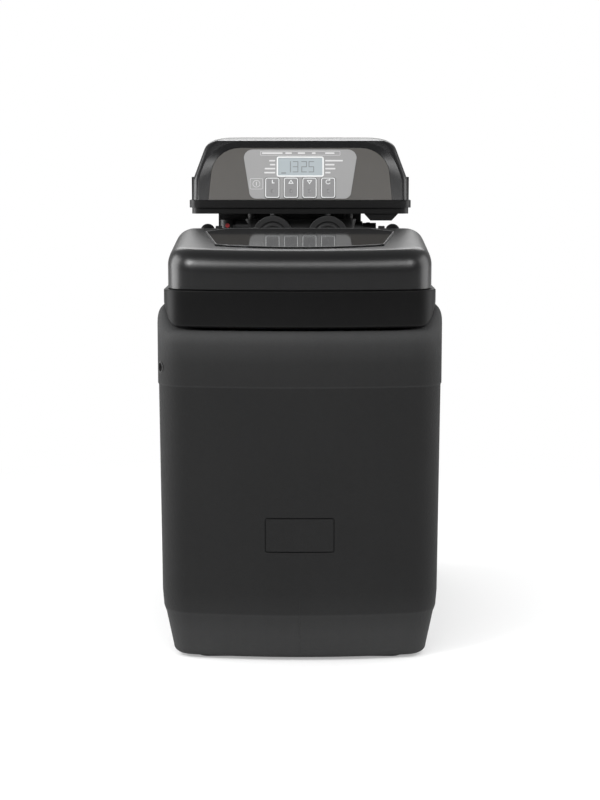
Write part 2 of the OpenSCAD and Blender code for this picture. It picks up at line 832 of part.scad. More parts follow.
// Half outline of the upper dome from its rim to the neck
function dome_up(r, h, rim_z, neck) =
    let (last = acos(neck / r))
    [for (i = [0 : dome_steps]) let (a = last * i / dome_steps) [r * cos(a), rim_z + h * sin(a)]];

function reversed(list) = [for (i = [len(list) - 1 : -1 : 0]) list[i]];

module vessel() {
    outer = concat(
        reversed(dome_down(vessel_r, base_dome_h, vessel_base_z + base_dome_h)),
        dome_up(vessel_r, top_dome_h, dome_top_z - top_dome_h, neck_r),
        [[neck_r, vessel_top_z]]);
    inner_r = vessel_r - vessel_wall;
    inner = concat(
        [[neck_inner_r, vessel_top_z]],
        reversed(dome_up(inner_r, top_dome_h - vessel_wall, dome_top_z - top_dome_h, neck_inner_r)),
        dome_down(inner_r, base_dome_h - vessel_wall, vessel_base_z + base_dome_h));
    color("#3a5f8a") translate([0, axis_y, 0]) rotate_extrude() polygon(concat(outer, inner));
}

module vessel_boot() {
    rim_z = vessel_base_z + base_dome_h - seat_gap;
    seat = [for (i = [boot_first : boot_last])
        let (a = 90 * i / dome_steps) [vessel_r * cos(a), rim_z - base_dome_h * sin(a)]];
    foot = [[seat[len(seat) - 1][0], floor_z], [seat[0][0], floor_z]];
    color("#222222") translate([0, axis_y, 0]) rotate_extrude() polygon(concat(seat, foot));
}

module resin_bed() {
    fill_r = vessel_r - vessel_wall - seat_gap;
    dome = dome_down(fill_r, base_dome_h - vessel_wall - seat_gap, vessel_base_z + base_dome_h);
    core_r = riser_r + seat_gap;
    wall = [for (p = dome) if (p[0] > core_r) p];
    color("#b5651d") translate([0, axis_y, 0]) difference() {
        rotate_extrude() polygon(concat([[core_r, resin_top_z], [fill_r, resin_top_z]], wall,
            [[core_r, wall[len(wall) - 1][1]]]));
        pillar(distributor_r + seat_gap, vessel_base_z, distributor_z + distributor_height + seat_gap);
    }
}

module riser_tube() {
    color("white") translate([0, axis_y, 0])
        ring(riser_r, riser_r - riser_wall, distributor_z + riser_lift, vessel_top_z + riser_socket);
}

// Upright slots round a basket
module basket_slots(r, z0, z1) {
    for (i = [0 : slot_count - 1]) rotate([0, 0, 360 * i / slot_count])
        translate([r - 4, -slot_width / 2, z0]) cube([8, slot_width, z1 - z0]);
}

module lower_distributor() {
    color("#e8e4d8") translate([0, axis_y, 0]) difference() {
        pillar(distributor_r, distributor_z, distributor_z + distributor_height);
        pillar(riser_r + seat_gap, distributor_z + riser_lift, distributor_z + distributor_height + 1);
        pillar(riser_r - riser_wall, distributor_z + 3, distributor_z + riser_lift + 1);
        basket_slots(distributor_r, distributor_z + 3, distributor_z + riser_lift - 3);
    }
}

module upper_distributor() {
    top_z = vessel_top_z - plug_depth;
    color("#e8e4d8") translate([0, axis_y, 0]) difference() {
        ring(neck_inner_r - 2, riser_r + 1, top_z - 22, top_z);
        pillar(neck_inner_r - 5, top_z - 19, top_z + 1);
        basket_slots(neck_inner_r - 3, top_z - 16, top_z - 4);
    }
}

module neck_seal() {
    color("black") translate([0, axis_y, 0])
        seal_ring(neck_seal_r, neck_seal_cord_r, vessel_top_z + neck_seal_cord_r + seal_play / 4);
}

module at_well() {
    translate([well_x, well_y, 0]) children();
}

module brine_well() {
    color("#d9d9d6") at_well() difference() {
        ring(well_r, well_r - well_wall, floor_z, well_top_z);
        for (turn = [0, 90]) rotate([0, 0, turn])
            translate([-well_r - eps, -well_slot_width / 2, floor_z + well_slot_lift])
                cube([2 * (well_r + eps), well_slot_width, well_slot_height]);
    }
}

module well_cap() {
    color("#26262a") at_well() difference() {
        union() {
            pillar(well_r + well_cap_lip, well_top_z, well_top_z + well_cap_thickness);
            ring(well_r - well_wall - seat_gap, well_r - 2 * well_wall,
                well_top_z - well_cap_plug, well_top_z + eps);
        }
        pillar(pickup_r + seat_gap, well_top_z - well_cap_plug, well_top_z + well_cap_thickness + eps);
    }
}

module brine_valve() {
    color("#2f4f6f") at_well() difference() {
        union() {
            pillar(brine_valve_r, floor_z, floor_z + brine_valve_height);
            pillar(well_r - well_wall - seat_gap, floor_z, floor_z + brine_valve_foot);
        }
        pillar(pickup_r - pickup_wall, floor_z + 2 * brine_valve_foot, floor_z + brine_valve_height + eps);
        translate([0, 0, floor_z + brine_port_lift])
            along_x(brine_port_r, -brine_valve_r - eps, brine_valve_r + eps);
        translate([0, 0, floor_z + brine_port_lift + brine_port_step])
            along_y(brine_port_r, -brine_valve_r - eps, brine_valve_r + eps);
    }
}

module pickup_pipe() {
    color("#e4e4e0") at_well()
        ring(pickup_r, pickup_r - pickup_wall, floor_z + brine_valve_height, well_top_z + pickup_stub);
}

module float() {
    edge = 4;
    color("#f0efe8") at_well() rotate_extrude() polygon([
        [pickup_r + float_gap, float_z],
        [float_r - edge, float_z],
        [float_r, float_z + edge],
        [float_r, float_z + float_height - edge],
        [float_r - edge, float_z + float_height],
        [pickup_r + float_gap, float_z + float_height]]);
}

// Brine tube: up from the pickup pipe, back under the deck and up to the valve's elbow
module brine_tube() {
    run = [elbow_x - well_x, elbow_y - well_y];
    run_length = norm(run);
    heading = [run[0] / run_length, run[1] / run_length, 0];
    side = [-heading[1], heading[0], 0];
    start = [well_x, well_y, well_top_z + pickup_stub];
    end_z = elbow_z - tube_stop;
    first_bend = [for (i = [0 : bend_steps])
        let (a = 90 * i / bend_steps)
        [tube_bend_r * (1 - cos(a)), tube_run_z - tube_bend_r * (1 - sin(a)), a]];
    second_bend = [for (i = [0 : bend_steps])
        let (a = 90 - 90 * i / bend_steps)
        [run_length - tube_bend_r * (1 - cos(a)), tube_run_z + tube_bend_r * (1 - sin(a)), a]];
    route = concat([[0, start[2], 0]], first_bend, second_bend, [[run_length, end_z, 0]]);
    rings = [for (p = route) [for (j = [0 : tube_sides - 1])
        let (b = 360 * j / tube_sides)
        let (lean = [heading[0] * cos(p[2]), heading[1] * cos(p[2]), -sin(p[2])])
        [well_x, well_y, 0] + heading * p[0] + [0, 0, p[1]]
            + brine_tube_r * (cos(b) * side + sin(b) * lean)]];
    color("#e9e9e4") loft([for (ring = rings) reversed(ring)]);
}

// Valve body: neck plug, manifold, cap bosses, ports and posts for the tray
module valve_body() {
    color("#202022") difference() {
        union() {
            translate([0, axis_y, 0]) {
                pillar(neck_r + neck_flange, vessel_top_z, vessel_top_z + neck_flange_height);
                pillar(neck_inner_r - seat_gap, vessel_top_z - plug_depth, vessel_top_z + 1);
            }
            translate([0, 0, vessel_top_z + manifold_lift]) linear_extrude(valve_height - manifold_lift)
                polygon(rounded_rect(-manifold_half_w, manifold_front_y, manifold_half_w, manifold_rear_y,
                    manifold_corner_r));
            for (side = [-1, 1]) {
                translate([side * cap_spacing / 2, 0, cap_z]) along_y(boss_r, boss_front_y, boss_rear_y);
                translate([side * spigot_spacing / 2, 0, spigot_z])
                    along_y(port_r, manifold_rear_y - stub_seat, port_rear_y);
            }
            translate([0, elbow_y, elbow_z]) along_x(elbow_r + eps, port_left_x, stub_seat - manifold_half_w);
            translate([0, drain_y, drain_z]) along_x(elbow_r, manifold_half_w - stub_seat, drain_port_x);
            tray_posts() pillar(tray_post_r, valve_top_z - 2, tray_z);
            head_wall(bracket_left_x, -bracket_inner_x);
            head_wall(bracket_inner_x, bracket_right_x);
        }
        translate([0, axis_y, 0]) {
            pillar(chamber_r, chamber_z, valve_top_z + 1);
            pillar(riser_r + seat_gap, vessel_top_z - plug_depth - 1, vessel_top_z + riser_socket);
            pillar(riser_r - riser_wall, vessel_top_z + riser_socket - 1, chamber_z + 1);
            for (i = [0 : 5]) rotate([0, 0, 60 * i]) translate([(riser_r + neck_inner_r) / 2, 0, 0])
                pillar(flow_hole_r, vessel_top_z - plug_depth - eps, vessel_top_z + flow_hole_depth);
            ring(neck_seal_r + neck_seal_cord_r + seal_play, neck_seal_r - neck_seal_cord_r - seal_play,
                vessel_top_z - eps, vessel_top_z + 2 * (neck_seal_cord_r + seal_play));
            bonnet_screw_places() pillar(screw_r, valve_top_z - screw_length - 1, valve_top_z + 1);
        }
        translate([-cap_spacing / 2, 0, cap_z])
            along_y(meter_bore_r, boss_front_y - eps, boss_rear_y - boss_floor);
        translate([cap_spacing / 2, 0, cap_z])
            along_y(injector_bore_r, boss_front_y - eps, boss_rear_y - boss_floor);
        for (side = [-1, 1]) translate([side * spigot_spacing / 2, 0, spigot_z])
            along_y(adapter_plug_r + seat_gap, port_rear_y - adapter_plug_length, port_rear_y + 1);
        translate([0, elbow_y, elbow_z])
            along_x(elbow_stub_r + seat_gap, port_left_x - eps, stub_seat - manifold_half_w);
        translate([0, drain_y, drain_z])
            along_x(drain_stub_r + running_gap, manifold_half_w - 2 * stub_seat, drain_port_x + eps);
        tray_posts() pillar(screw_r, tray_z - screw_length - 1, tray_z + 1);
    }
}

// Upright wall of the valve that closes the space under the tray beside the bonnet
module head_wall(x0, x1) {
    translate([x0, head_wall_y, vessel_top_z + manifold_lift + 3])
        cube([x1 - x0, head_wall_thickness, tray_z - seat_gap - vessel_top_z - manifold_lift - 3]);
}

module tray_posts() {
    for (x = [-tray_post_x, tray_post_x], y = [tray_post_front_y, tray_post_rear_y])
        translate([x, y, 0]) children();
}

module bonnet_screw_places() {
    for (i = [0 : 3]) rotate([0, 0, 45 + 90 * i]) translate([bonnet_screw_ring, 0, 0]) children();
}

// Round screw cap over a boss, facing the front
module front_cap() {
    rear_y = cap_front_y + cap_depth;
    difference() {
        along_y(cap_r, cap_front_y, rear_y);
        along_y(boss_r + seat_gap, cap_front_y + cap_face, rear_y + eps);
        difference() {
            along_y(cap_r - cap_groove_inset, cap_front_y - eps, cap_front_y + cap_groove_depth);
            along_y(cap_r - cap_groove_inset - cap_groove_width, cap_front_y - cap_face, rear_y);
        }
        along_y(cap_r - cap_dimple_inset, cap_front_y - eps, cap_front_y + cap_dimple_depth);
    }
}

module meter_cap() {
    inner_y = cap_front_y + cap_face;
    color("#2a2a2c") translate([-cap_spacing / 2, 0, cap_z]) {
        front_cap();
        along_y(turbine_axle_r, inner_y - eps, turbine_front_y + turbine_length + turbine_axle_end);
        along_y(turbine_axle_r + turbine_collar, inner_y - eps, turbine_front_y - body_gap);
    }
}

module injector_cap() {
    color("#2a2a2c") translate([cap_spacing / 2, 0, cap_z]) front_cap();
}

module cap_seals() {
    color("black") for (side = [-1, 1]) translate([side * cap_spacing / 2, 0, cap_z]) difference() {
        along_y(boss_r - gasket_inset, cap_front_y + cap_face, boss_front_y);
        along_y(boss_r - gasket_inset - gasket_width, cap_front_y, boss_front_y + eps);
    }
}

module turbine() {
    blade_count = 6;
    blade_inset = 1;
    color("#f4f4f4") translate([-cap_spacing / 2, turbine_front_y, cap_z]) difference() {
        union() {
            along_y(turbine_hub_r, 0, turbine_length);
            for (i = [0 : blade_count - 1]) rotate([0, 360 * i / blade_count, 0])
                translate([0, blade_inset, -blade_thickness / 2])
                    cube([meter_bore_r - turbine_tip_gap, turbine_length - 2 * blade_inset, blade_thickness]);
        }
        along_y(turbine_axle_r + running_gap, -eps, turbine_length + eps);
    }
}

module injector() {
    front = boss_front_y + injector_setback;
    rear = boss_rear_y - boss_floor;
    color("#b0302a") translate([cap_spacing / 2, 0, cap_z]) difference() {
        along_y(injector_bore_r - seat_gap, front, rear);
        along_y(injector_jet_r, front - eps, rear + eps);
        translate([0, front, 0]) rotate([-90, 0, 0]) translate([0, 0, -0.01])
            cylinder(r1 = injector_mouth_r, r2 = injector_jet_r * 0.7, h = injector_mouth_depth);
    }
}

module fixed_disc() {
    color("#d8d8d2") translate([0, axis_y, 0]) difference() {
        pillar(disc_r, chamber_z, chamber_z + disc_thickness);
        for (i = [0 : 4]) rotate([0, 0, 72 * i]) translate([disc_r * 0.6, 0, 0])
            pillar(disc_r * 0.15, chamber_z - 1, chamber_z + disc_thickness + 1);
        pillar(disc_r * 0.12, chamber_z - 1, chamber_z + disc_thickness + 1);
    }
}

module moving_disc() {
    z0 = chamber_z + disc_thickness + body_gap;
    color("#c8c8c4") translate([0, axis_y, 0]) difference() {
        pillar(disc_r - 1, z0, disc_top_z);
        for (i = [0 : 1]) rotate([0, 0, 72 * i]) translate([disc_r * 0.6, 0, 0])
            pillar(disc_r * 0.17, z0 - 1, disc_top_z + 1);
    }
}

module stem() {
    color("#dcdcd8") translate([0, axis_y, 0]) {
        pillar(stem_foot_r, disc_top_z, disc_top_z + stem_foot_h);
        pillar(stem_r, disc_top_z + stem_foot_h - 0.5, gear_z + gear_width + 1);
    }
}

module stem_seal() {
    color("black") translate([0, axis_y, 0])
        seal_ring(stem_r + stem_seal_cord_r + seal_play, stem_seal_cord_r, valve_top_z + bonnet_height / 2);
}

module bonnet() {
    top_z = valve_top_z + bonnet_height;
    seal_z = valve_top_z + bonnet_height / 2;
    color("#303034") translate([0, axis_y, 0]) difference() {
        pillar(bonnet_r, valve_top_z, top_z);
        pillar(stem_r + running_gap, valve_top_z - 1, top_z + 1);
        ring(stem_r + 2 * (stem_seal_cord_r + seal_play), stem_r,
            seal_z - stem_seal_cord_r - seal_play, seal_z + stem_seal_cord_r + seal_play);
        bonnet_screw_places() {
            pillar(screw_r + seat_gap, valve_top_z - 1, top_z + 1);
            pillar(screw_head_r + seat_gap, top_z - screw_head_h - 0.2, top_z + 1);
        }
    }
}

module bonnet_screws() {
    color("silver") translate([0, axis_y, 0]) bonnet_screw_places()
        translate([0, 0, valve_top_z + bonnet_height - screw_head_h - 0.2]) screw(screw_length);
}

// Threaded pipe adapter seated in a rear port
module pipe_adapter(side) {
    flange_y = port_rear_y + adapter_flange;
    seal_y = port_rear_y - adapter_seal_back;
    color("#c9a24a") translate([side * spigot_spacing / 2, 0, spigot_z]) difference() {
        union() {
            along_y(adapter_plug_r, port_rear_y - adapter_plug_length + 1, port_rear_y + 1);
            along_y(port_r, port_rear_y, flange_y);
            along_y(spigot_r, flange_y - 1, flange_y + spigot_length);
        }
        along_y(adapter_bore_r, port_rear_y - adapter_plug_length, flange_y + eps);
        along_y(spigot_bore_r, flange_y, flange_y + spigot_length + eps);
        difference() {
            along_y(adapter_plug_r + eps, seal_y - adapter_groove_half, seal_y + adapter_groove_half);
            along_y(adapter_plug_r - 2 * adapter_seal_r - seal_play / 2,
                seal_y - adapter_plug_length, seal_y + adapter_plug_length);
        }
    }
}

module inlet_adapter() {
    pipe_adapter(-1);
}

module outlet_adapter() {
    pipe_adapter(1);
}

module adapter_seals() {
    color("black") for (side = [-1, 1])
        translate([side * spigot_spacing / 2, port_rear_y - adapter_seal_back, spigot_z]) rotate([-90, 0, 0])
            seal_ring(adapter_plug_r - adapter_seal_r, adapter_seal_r, 0);
}

module adapter_clips() {
    color("silver") for (side = [-1, 1]) translate([side * spigot_spacing / 2, 0, spigot_z]) difference() {
        along_y(port_r + clip_thickness, manifold_rear_y + eps, port_rear_y + adapter_flange - eps);
        along_y(port_r + seat_gap, manifold_rear_y, port_rear_y + adapter_flange);
        translate([-clip_gap_width / 2, manifold_rear_y, -port_r - clip_gap_width / 2])
            cube([clip_gap_width, 2 * adapter_flange, clip_gap_width * 0.8]);
    }
}

module brine_elbow() {
    stub_end_x = tube_stop + eps - manifold_half_w;
    color("#232325") difference() {
        union() {
            translate([elbow_x, elbow_y, 0]) pillar(elbow_r, elbow_z - elbow_r, elbow_z + elbow_r);
            translate([0, elbow_y, elbow_z]) along_x(elbow_stub_r, elbow_x, stub_end_x);
        }
        translate([elbow_x, elbow_y, 0]) {
            pillar(brine_tube_r + seat_gap, elbow_z - elbow_r - eps, elbow_z - tube_stop);
            pillar(elbow_bore_r, elbow_z - elbow_r, elbow_z);
        }
        translate([0, elbow_y, elbow_z]) along_x(elbow_bore_r, elbow_x, stub_end_x + eps);
        translate([elbow_x, 0, elbow_z + release_lift])
            along_y(release_r + seat_gap, elbow_y - elbow_r - eps, elbow_y - release_lift);
    }
}

module brine_release() {
    head_y = elbow_y - elbow_r - release_r;
    color("#c1121f") translate([elbow_x, 0, elbow_z + release_lift]) {
        along_y(release_r, head_y + eps, elbow_y - release_lift);
        along_y(release_r + release_head, head_y, elbow_y - elbow_r - eps);
    }
}

module drain_elbow() {
    tail_x = (drain_port_x + drain_end_x) / 2;
    tail_end_y = drain_y + drain_tail_length;
    color("#1f1f21") translate([0, 0, drain_z]) difference() {
        union() {
            translate([0, drain_y, 0]) {
                along_x(drain_stub_r, manifold_half_w - stub_seat, drain_port_x + 2 * eps);
                along_x(drain_barrel_r, drain_port_x + body_gap, drain_end_x);
            }
            translate([tail_x, 0, 0]) along_y(drain_tail_r - barb_depth, drain_y, tail_end_y);
            for (i = [1 : 3]) translate([tail_x, tail_end_y - barb_pitch * i, 0]) rotate([-90, 0, 0])
                cylinder(r1 = drain_tail_r, r2 = drain_tail_r - barb_depth, h = barb_length);
        }
        translate([0, drain_y, 0])
            along_x(drain_bore_r, manifold_half_w - 2 * stub_seat, tail_x + drain_bore_r);
        translate([tail_x, 0, 0]) along_y(tail_bore_r, drain_y, tail_end_y + eps);
    }
}

// The tray's outline drawn in by a distance
function tray_plan(inset) = rounded_rect(
    inset - tray_half_width, tray_front_y + inset, tray_half_width - inset, tray_rear_y - inset,
    tray_corner_r - min(inset, 8));

module tray() {
    rim = tray_half_width - hood_half_width + hood_wall + rim_margin;
    color("#232325") difference() {
        union() {
            translate([0, 0, tray_z]) linear_extrude(tray_step_z - tray_z + eps)
                polygon(tray_plan(tray_step));
            translate([0, 0, tray_step_z]) linear_extrude(tray_top_z - tray_step_z) polygon(tray_plan(0));
            for (side = [-1, 1]) mirror([side < 0 ? 1 : 0, 0, 0]) ear_tab();
        }
        translate([0, 0, tray_floor_z]) linear_extrude(tray_height)
            polygon(rounded_rect(rim - tray_half_width, tray_front_y + tray_front_rim, tray_half_width - rim,
                tray_rear_y - rim, tray_corner_r / 2));
        translate([0, axis_y, 0]) pillar(stem_r + 3, tray_z - 1, tray_floor_z + 1);
        tray_posts() pillar(screw_r + seat_gap, tray_z - 1, tray_floor_z + 1);
    }
}

// Tab beside the hood that holds it in place
module ear_tab() {
    translate([hood_half_width + body_gap, axis_y - ear_tab_depth, tray_top_z - 1])
        cube([ear_tab_thickness, ear_tab_depth, ear_tab_height + 1]);
}

module tray_screws() {
    color("silver") tray_posts() translate([0, 0, tray_floor_z]) screw(screw_length);
}

// Wedge-shaped socket housing under the tray, its jack facing the rear
module power_inlet() {
    outline = [
        [-socket_half_top, 0], [socket_half_top, 0],
        [socket_half_foot, -socket_height], [-socket_half_foot, -socket_height]];
    color("#1b1b1c") translate([socket_x, tray_front_y + tray_step + socket_setback + socket_depth, tray_z])
        difference() {
            rotate([90, 0, 0]) linear_extrude(socket_depth) polygon(outline);
            translate([0, 0, -socket_height / 2]) along_y(jack_r, -jack_depth, eps);
        }
}

module motor_bracket() {
    plate_x0 = idler_x - bracket_idler_edge;
    plate_x1 = motor_x + motor_r + bracket_motor_edge;
    leg_x0 = motor_x - bracket_leg_setback;
    color("#8a8d90") translate([0, axis_y, 0]) difference() {
        union() {
            translate([plate_x0, -bracket_half_depth, bracket_z])
                cube([plate_x1 - plate_x0, 2 * bracket_half_depth, bracket_thickness]);
            for (y = [-bracket_half_depth, bracket_half_depth - bracket_leg_t])
                translate([leg_x0, y, tray_floor_z])
                    cube([plate_x1 - leg_x0, bracket_leg_t, bracket_z - tray_floor_z + 1]);
        }
        translate([idler_x, 0, 0]) pillar(idler_axle_r + seat_gap, bracket_z - 1, bracket_z + 10);
        translate([motor_x, 0, 0]) pillar(motor_shaft_r + 3, bracket_z - 1, bracket_z + 10);
        motor_ears() pillar(screw_r, bracket_z - screw_length, bracket_z + 10);
    }
}

module motor_ears() {
    for (side = [-1, 1]) translate([motor_x, side * motor_ear_y, 0]) children();
}

module motor() {
    color("#6f7478") translate([0, axis_y, 0]) difference() {
        union() {
            translate([motor_x, 0, 0]) {
                pillar(motor_r, motor_z, motor_z + motor_height);
                pillar(motor_r - 5, motor_z + motor_height - 1, motor_z + motor_height + 3);
                translate([-motor_ear_r, -motor_ear_y, motor_z])
                    cube([2 * motor_ear_r, 2 * motor_ear_y, motor_ear_h]);
            }
            motor_ears() pillar(motor_ear_r + 0.5, motor_z, motor_z + motor_ear_h);
        }
        translate([motor_x, 0, 0]) pillar(motor_shaft_r + running_gap, motor_z - 1, motor_z + 12);
        motor_ears() pillar(screw_r + seat_gap, motor_z - 1, motor_z + motor_ear_h + 1);
    }
}

module motor_screws() {
    color("silver") translate([0, axis_y, 0]) motor_ears()
        translate([0, 0, motor_z + motor_ear_h]) screw(screw_length - 3);
}

// Outline of a spur gear with a tooth on the +X axis
function gear_outline(teeth, tooth_module) =
    let (pitch_r = tooth_module * teeth / 2)
    let (tip_r = pitch_r + 0.8 * tooth_module, root_r = pitch_r - 1.2 * tooth_module)
    let (step = 360 / teeth)
    [for (i = [0 : teeth - 1], corner = [[root_r, -0.29], [pitch_r, -0.2], [tip_r, -0.1],
                                         [tip_r, 0.1], [pitch_r, 0.2], [root_r, 0.29]])
        let (a = step * (i + corner[1])) [corner[0] * cos(a), corner[0] * sin(a)]];

module gear(teeth, tooth_module, z0, z1, turn) {
    rotate([0, 0, turn]) translate([0, 0, z0]) linear_extrude(z1 - z0)
        polygon(gear_outline(teeth, tooth_module));
}

module pinion() {
    color("#c79a3b") translate([motor_x, axis_y, 0]) {
        gear(pinion_teeth, motor_module, upper_gear_z, upper_gear_z + upper_gear_width, half_tooth);
        pillar(motor_shaft_r, upper_gear_z + upper_gear_width - 1, motor_z + 10);
    }
}

module idler_gear() {
    color("#f2f0e6") translate([idler_x, axis_y, 0]) difference() {
        union() {
            gear(pinion_teeth, stem_module, gear_z, upper_gear_z + 0.5, half_tooth);
            gear(idler_teeth, motor_module, upper_gear_z, upper_gear_z + upper_gear_width, 0);
        }
        pillar(idler_axle_r + running_gap, gear_z - 1, upper_gear_z + upper_gear_width + 1);
    }
}

module idler_axle() {
    color("silver") translate([idler_x, axis_y, 0]) {
        pillar(idler_axle_r + 2, tray_floor_z, gear_z - body_gap);
        pillar(idler_axle_r, gear_z - body_gap - 0.5, bracket_z + bracket_thickness);
    }
}

module drive_gear() {
    web_r = stem_module * drive_teeth / 2 - 8;
    hub_r = stem_r + 5;
    color("#f2f0e6") translate([0, axis_y, 0]) difference() {
        gear(drive_teeth, stem_module, gear_z, gear_z + gear_width, 0);
        pillar(stem_r + seat_gap, gear_z - 1, gear_z + gear_width + 1);
        ring(web_r, hub_r, gear_z + gear_width - 3, gear_z + gear_width + 1);
    }
}

// Front edge of the hood at a height above its foot
function face_front(h) = face_y + h * tan(face_tilt);

// Share of a zone that ends at the hood's top, at a height above its foot
function top_share(h, zone) = max(0, min(1, (h - hood_height + zone) / zone));

// How far the hood's sides have drawn in at a height
function hood_draw(h) =
    hood_draft * max(0, h - hood_straight) + hood_round_width
        * (1 - pow(1 - pow(top_share(h, hood_shoulder_h), 2 / hood_fullness), hood_fullness / 2));

// A ring of the hood, from its straight sides at share 0 to its top at share 1
function hood_ring(inset, share, foot) =
    let (h = foot ? 0 : hood_straight + (hood_round_height - inset) * share)
    let (half = hood_half_width - inset - hood_draw(h + inset * share))
    let (back = hood_brow_depth * top_share(h + inset * share, hood_height - hood_brow_h))
    let (front = face_front(min(h, hood_brow_h)) + inset / cos(face_tilt) + back)
    let (rear = hood_rear_y - inset - hood_rear_round * pow(share, 3))
    level(rounded_rect(-half, front, half, rear, hood_corner_r - inset), hood_z + h);

module hood() {
    outer = [for (share = hood_shares) hood_ring(0, share, false)];
    inner = reversed([for (share = hood_shares) hood_ring(hood_wall, share, false)]);
    color("#161617") difference() {
        loft(concat(inner, [hood_ring(hood_wall, 0, true), hood_ring(0, 0, true)], outer));
        on_face(-30) linear_extrude(60) polygon(fascia_outline(0, -10));
    }
}

// Draws on the hood's sloping face: X across, Y up the slope, Z out of the face
module on_face(depth) {
    translate([0, face_y, hood_z]) rotate([90 - face_tilt, 0, 0]) translate([0, 0, depth]) children();
}

// Arch-shaped outline of the fascia, drawn in by a distance, from a foot to its top
function fascia_outline(inset, foot_s) =
    let (half = fascia_half_width - inset, top = fascia_length - inset)
    let (corner_x = half - fascia_lean - fascia_corner_r, corner_s = top - fascia_corner_r)
    concat([[-half, foot_s], [half, foot_s]],
        arc(corner_x, corner_s, fascia_corner_r, 0, 90, corner_steps),
        arc(-corner_x, corner_s, fascia_corner_r, 90, 180, corner_steps));

function button_x(i) = (i - (len(button_names) - 1) / 2) * button_pitch;

function button_outline(i, grow) = rounded_rect(
    button_x(i) - button_width / 2 - grow, button_foot_s - grow,
    button_x(i) + button_width / 2 + grow, button_foot_s + button_length + grow, button_corner_r);

function display_outline(grow) = rounded_rect(
    -display_width / 2 - grow, display_foot_s - grow,
    display_width / 2 + grow, display_foot_s + display_length + grow, 2);

// Openings for the buttons and the display
module face_openings(height) {
    for (i = [0 : len(button_names) - 1]) linear_extrude(height) polygon(button_outline(i, body_gap));
    linear_extrude(height) polygon(display_outline(seat_gap));
}

module board_posts() {
    for (x = [-board_post_x, board_post_x], s = [board_foot_s + 5, board_top_s - 5])
        translate([x, s, 0]) children();
}

module fascia() {
    foot_s = -fascia_back;
    color("#4a4744") difference() {
        union() {
            on_face(-fascia_back) linear_extrude(fascia_thickness)
                polygon(fascia_outline(seat_gap * 2, foot_s));
            on_face(-board_depth) board_posts()
                cylinder(r = board_post_r, h = board_depth - fascia_back + eps);
        }
        on_face(-fascia_back - 1) face_openings(fascia_thickness + 2);
        on_face(-board_depth - 1) board_posts() cylinder(r = screw_r, h = 6);
        translate([-tray_half_width, tray_front_y, tray_z])
            cube([2 * tray_half_width, tray_depth, hood_z - tray_z]);
    }
}

module overlay() {
    top_r = 11;
    foot_r = 9;
    outline = concat(
        arc(foot_r - overlay_half_foot, overlay_foot_s + foot_r, foot_r, 180, 270, corner_steps),
        arc(overlay_half_foot - foot_r, overlay_foot_s + foot_r, foot_r, 270, 360, corner_steps),
        arc(overlay_half_top - top_r, overlay_top_s - top_r, top_r, 0, 90, corner_steps),
        arc(top_r - overlay_half_top, overlay_top_s - top_r, top_r, 90, 180, corner_steps));
    color("#9c9c9a") difference() {
        on_face(-fascia_recess) linear_extrude(overlay_thickness) polygon(outline);
        on_face(-fascia_recess - 1) face_openings(overlay_thickness + 2);
    }
}

module display() {
    color("#b8c4c8") {
        on_face(-fascia_back) linear_extrude(fascia_thickness) polygon(display_outline(0));
        on_face(-board_depth) linear_extrude(board_depth - fascia_back - seat_gap)
            polygon(display_outline(eps));
        on_face(-fascia_back - 1) linear_extrude(2) polygon(display_outline(-1));
    }
}

module circuit_board() {
    color("#2e6b3a") difference() {
        on_face(-board_depth - board_thickness) linear_extrude(board_thickness)
            polygon(rounded_rect(-board_half_w, board_foot_s, board_half_w, board_top_s, 3));
        on_face(-board_depth - board_thickness - 1) board_posts() cylinder(r = screw_r + seat_gap, h = 4);
    }
}

module board_screws() {
    color("silver") on_face(-board_depth - board_thickness) board_posts() mirror([0, 0, 1]) screw(5);
}

module switches() {
    size = 6;
    top = flange_back + button_travel + switch_gap;
    color("#303030") on_face(-board_depth) for (i = [0 : len(button_names) - 1])
        translate([button_x(i) - size / 2, button_foot_s + button_length / 2 - size / 2, 0])
            cube([size, size, board_depth - top]);
}

// One button: a cap through the fascia with a flange behind it
module button(i) {
    front = fascia_recess - overlay_thickness - button_proud;
    color("#8d8f90") {
        on_face(-flange_back) linear_extrude(flange_back - front) polygon(button_outline(i, 0));
        on_face(-flange_back) linear_extrude(button_flange_h) polygon(button_outline(i, button_flange));
    }
}

module button_clock() {
    button(0);
}

module button_up() {
    button(1);
}

module button_down() {
    button(2);
}

module button_cycle() {
    button(3);
}

tank();
tank_base();
overflow_grommet();
collar();
hinge_pins();
lid();
lid_plate();
vessel();
vessel_boot();
resin_bed();
riser_tube();
lower_distributor();
upper_distributor();
neck_seal();
brine_well();
well_cap();
brine_valve();
pickup_pipe();
float();
brine_tube();
valve_body();
meter_cap();
injector_cap();
cap_seals();
turbine();
injector();
fixed_disc();
moving_disc();
stem();
stem_seal();
bonnet();
bonnet_screws();
inlet_adapter();
outlet_adapter();
adapter_seals();
adapter_clips();
brine_elbow();
brine_release();
drain_elbow();
tray();
tray_screws();
power_inlet();
motor_bracket();
motor();
motor_screws();
pinion();
idler_gear();
idler_axle();
drive_gear();
hood();
fascia();
overlay();
display();
circuit_board();
board_screws();
switches();
button_clock();
button_up();
button_down();
button_cycle();
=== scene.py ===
"""Looks of a compact cabinet water softener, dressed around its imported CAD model.

Every length is in metres, in the CAD model's frame: +Z up, the front towards -Y.
"""

import logging
import math
from dataclasses import dataclass
from enum import Enum
from typing import ClassVar, Iterable, Sequence

import bmesh
import bpy
from mathutils import Matrix, Vector


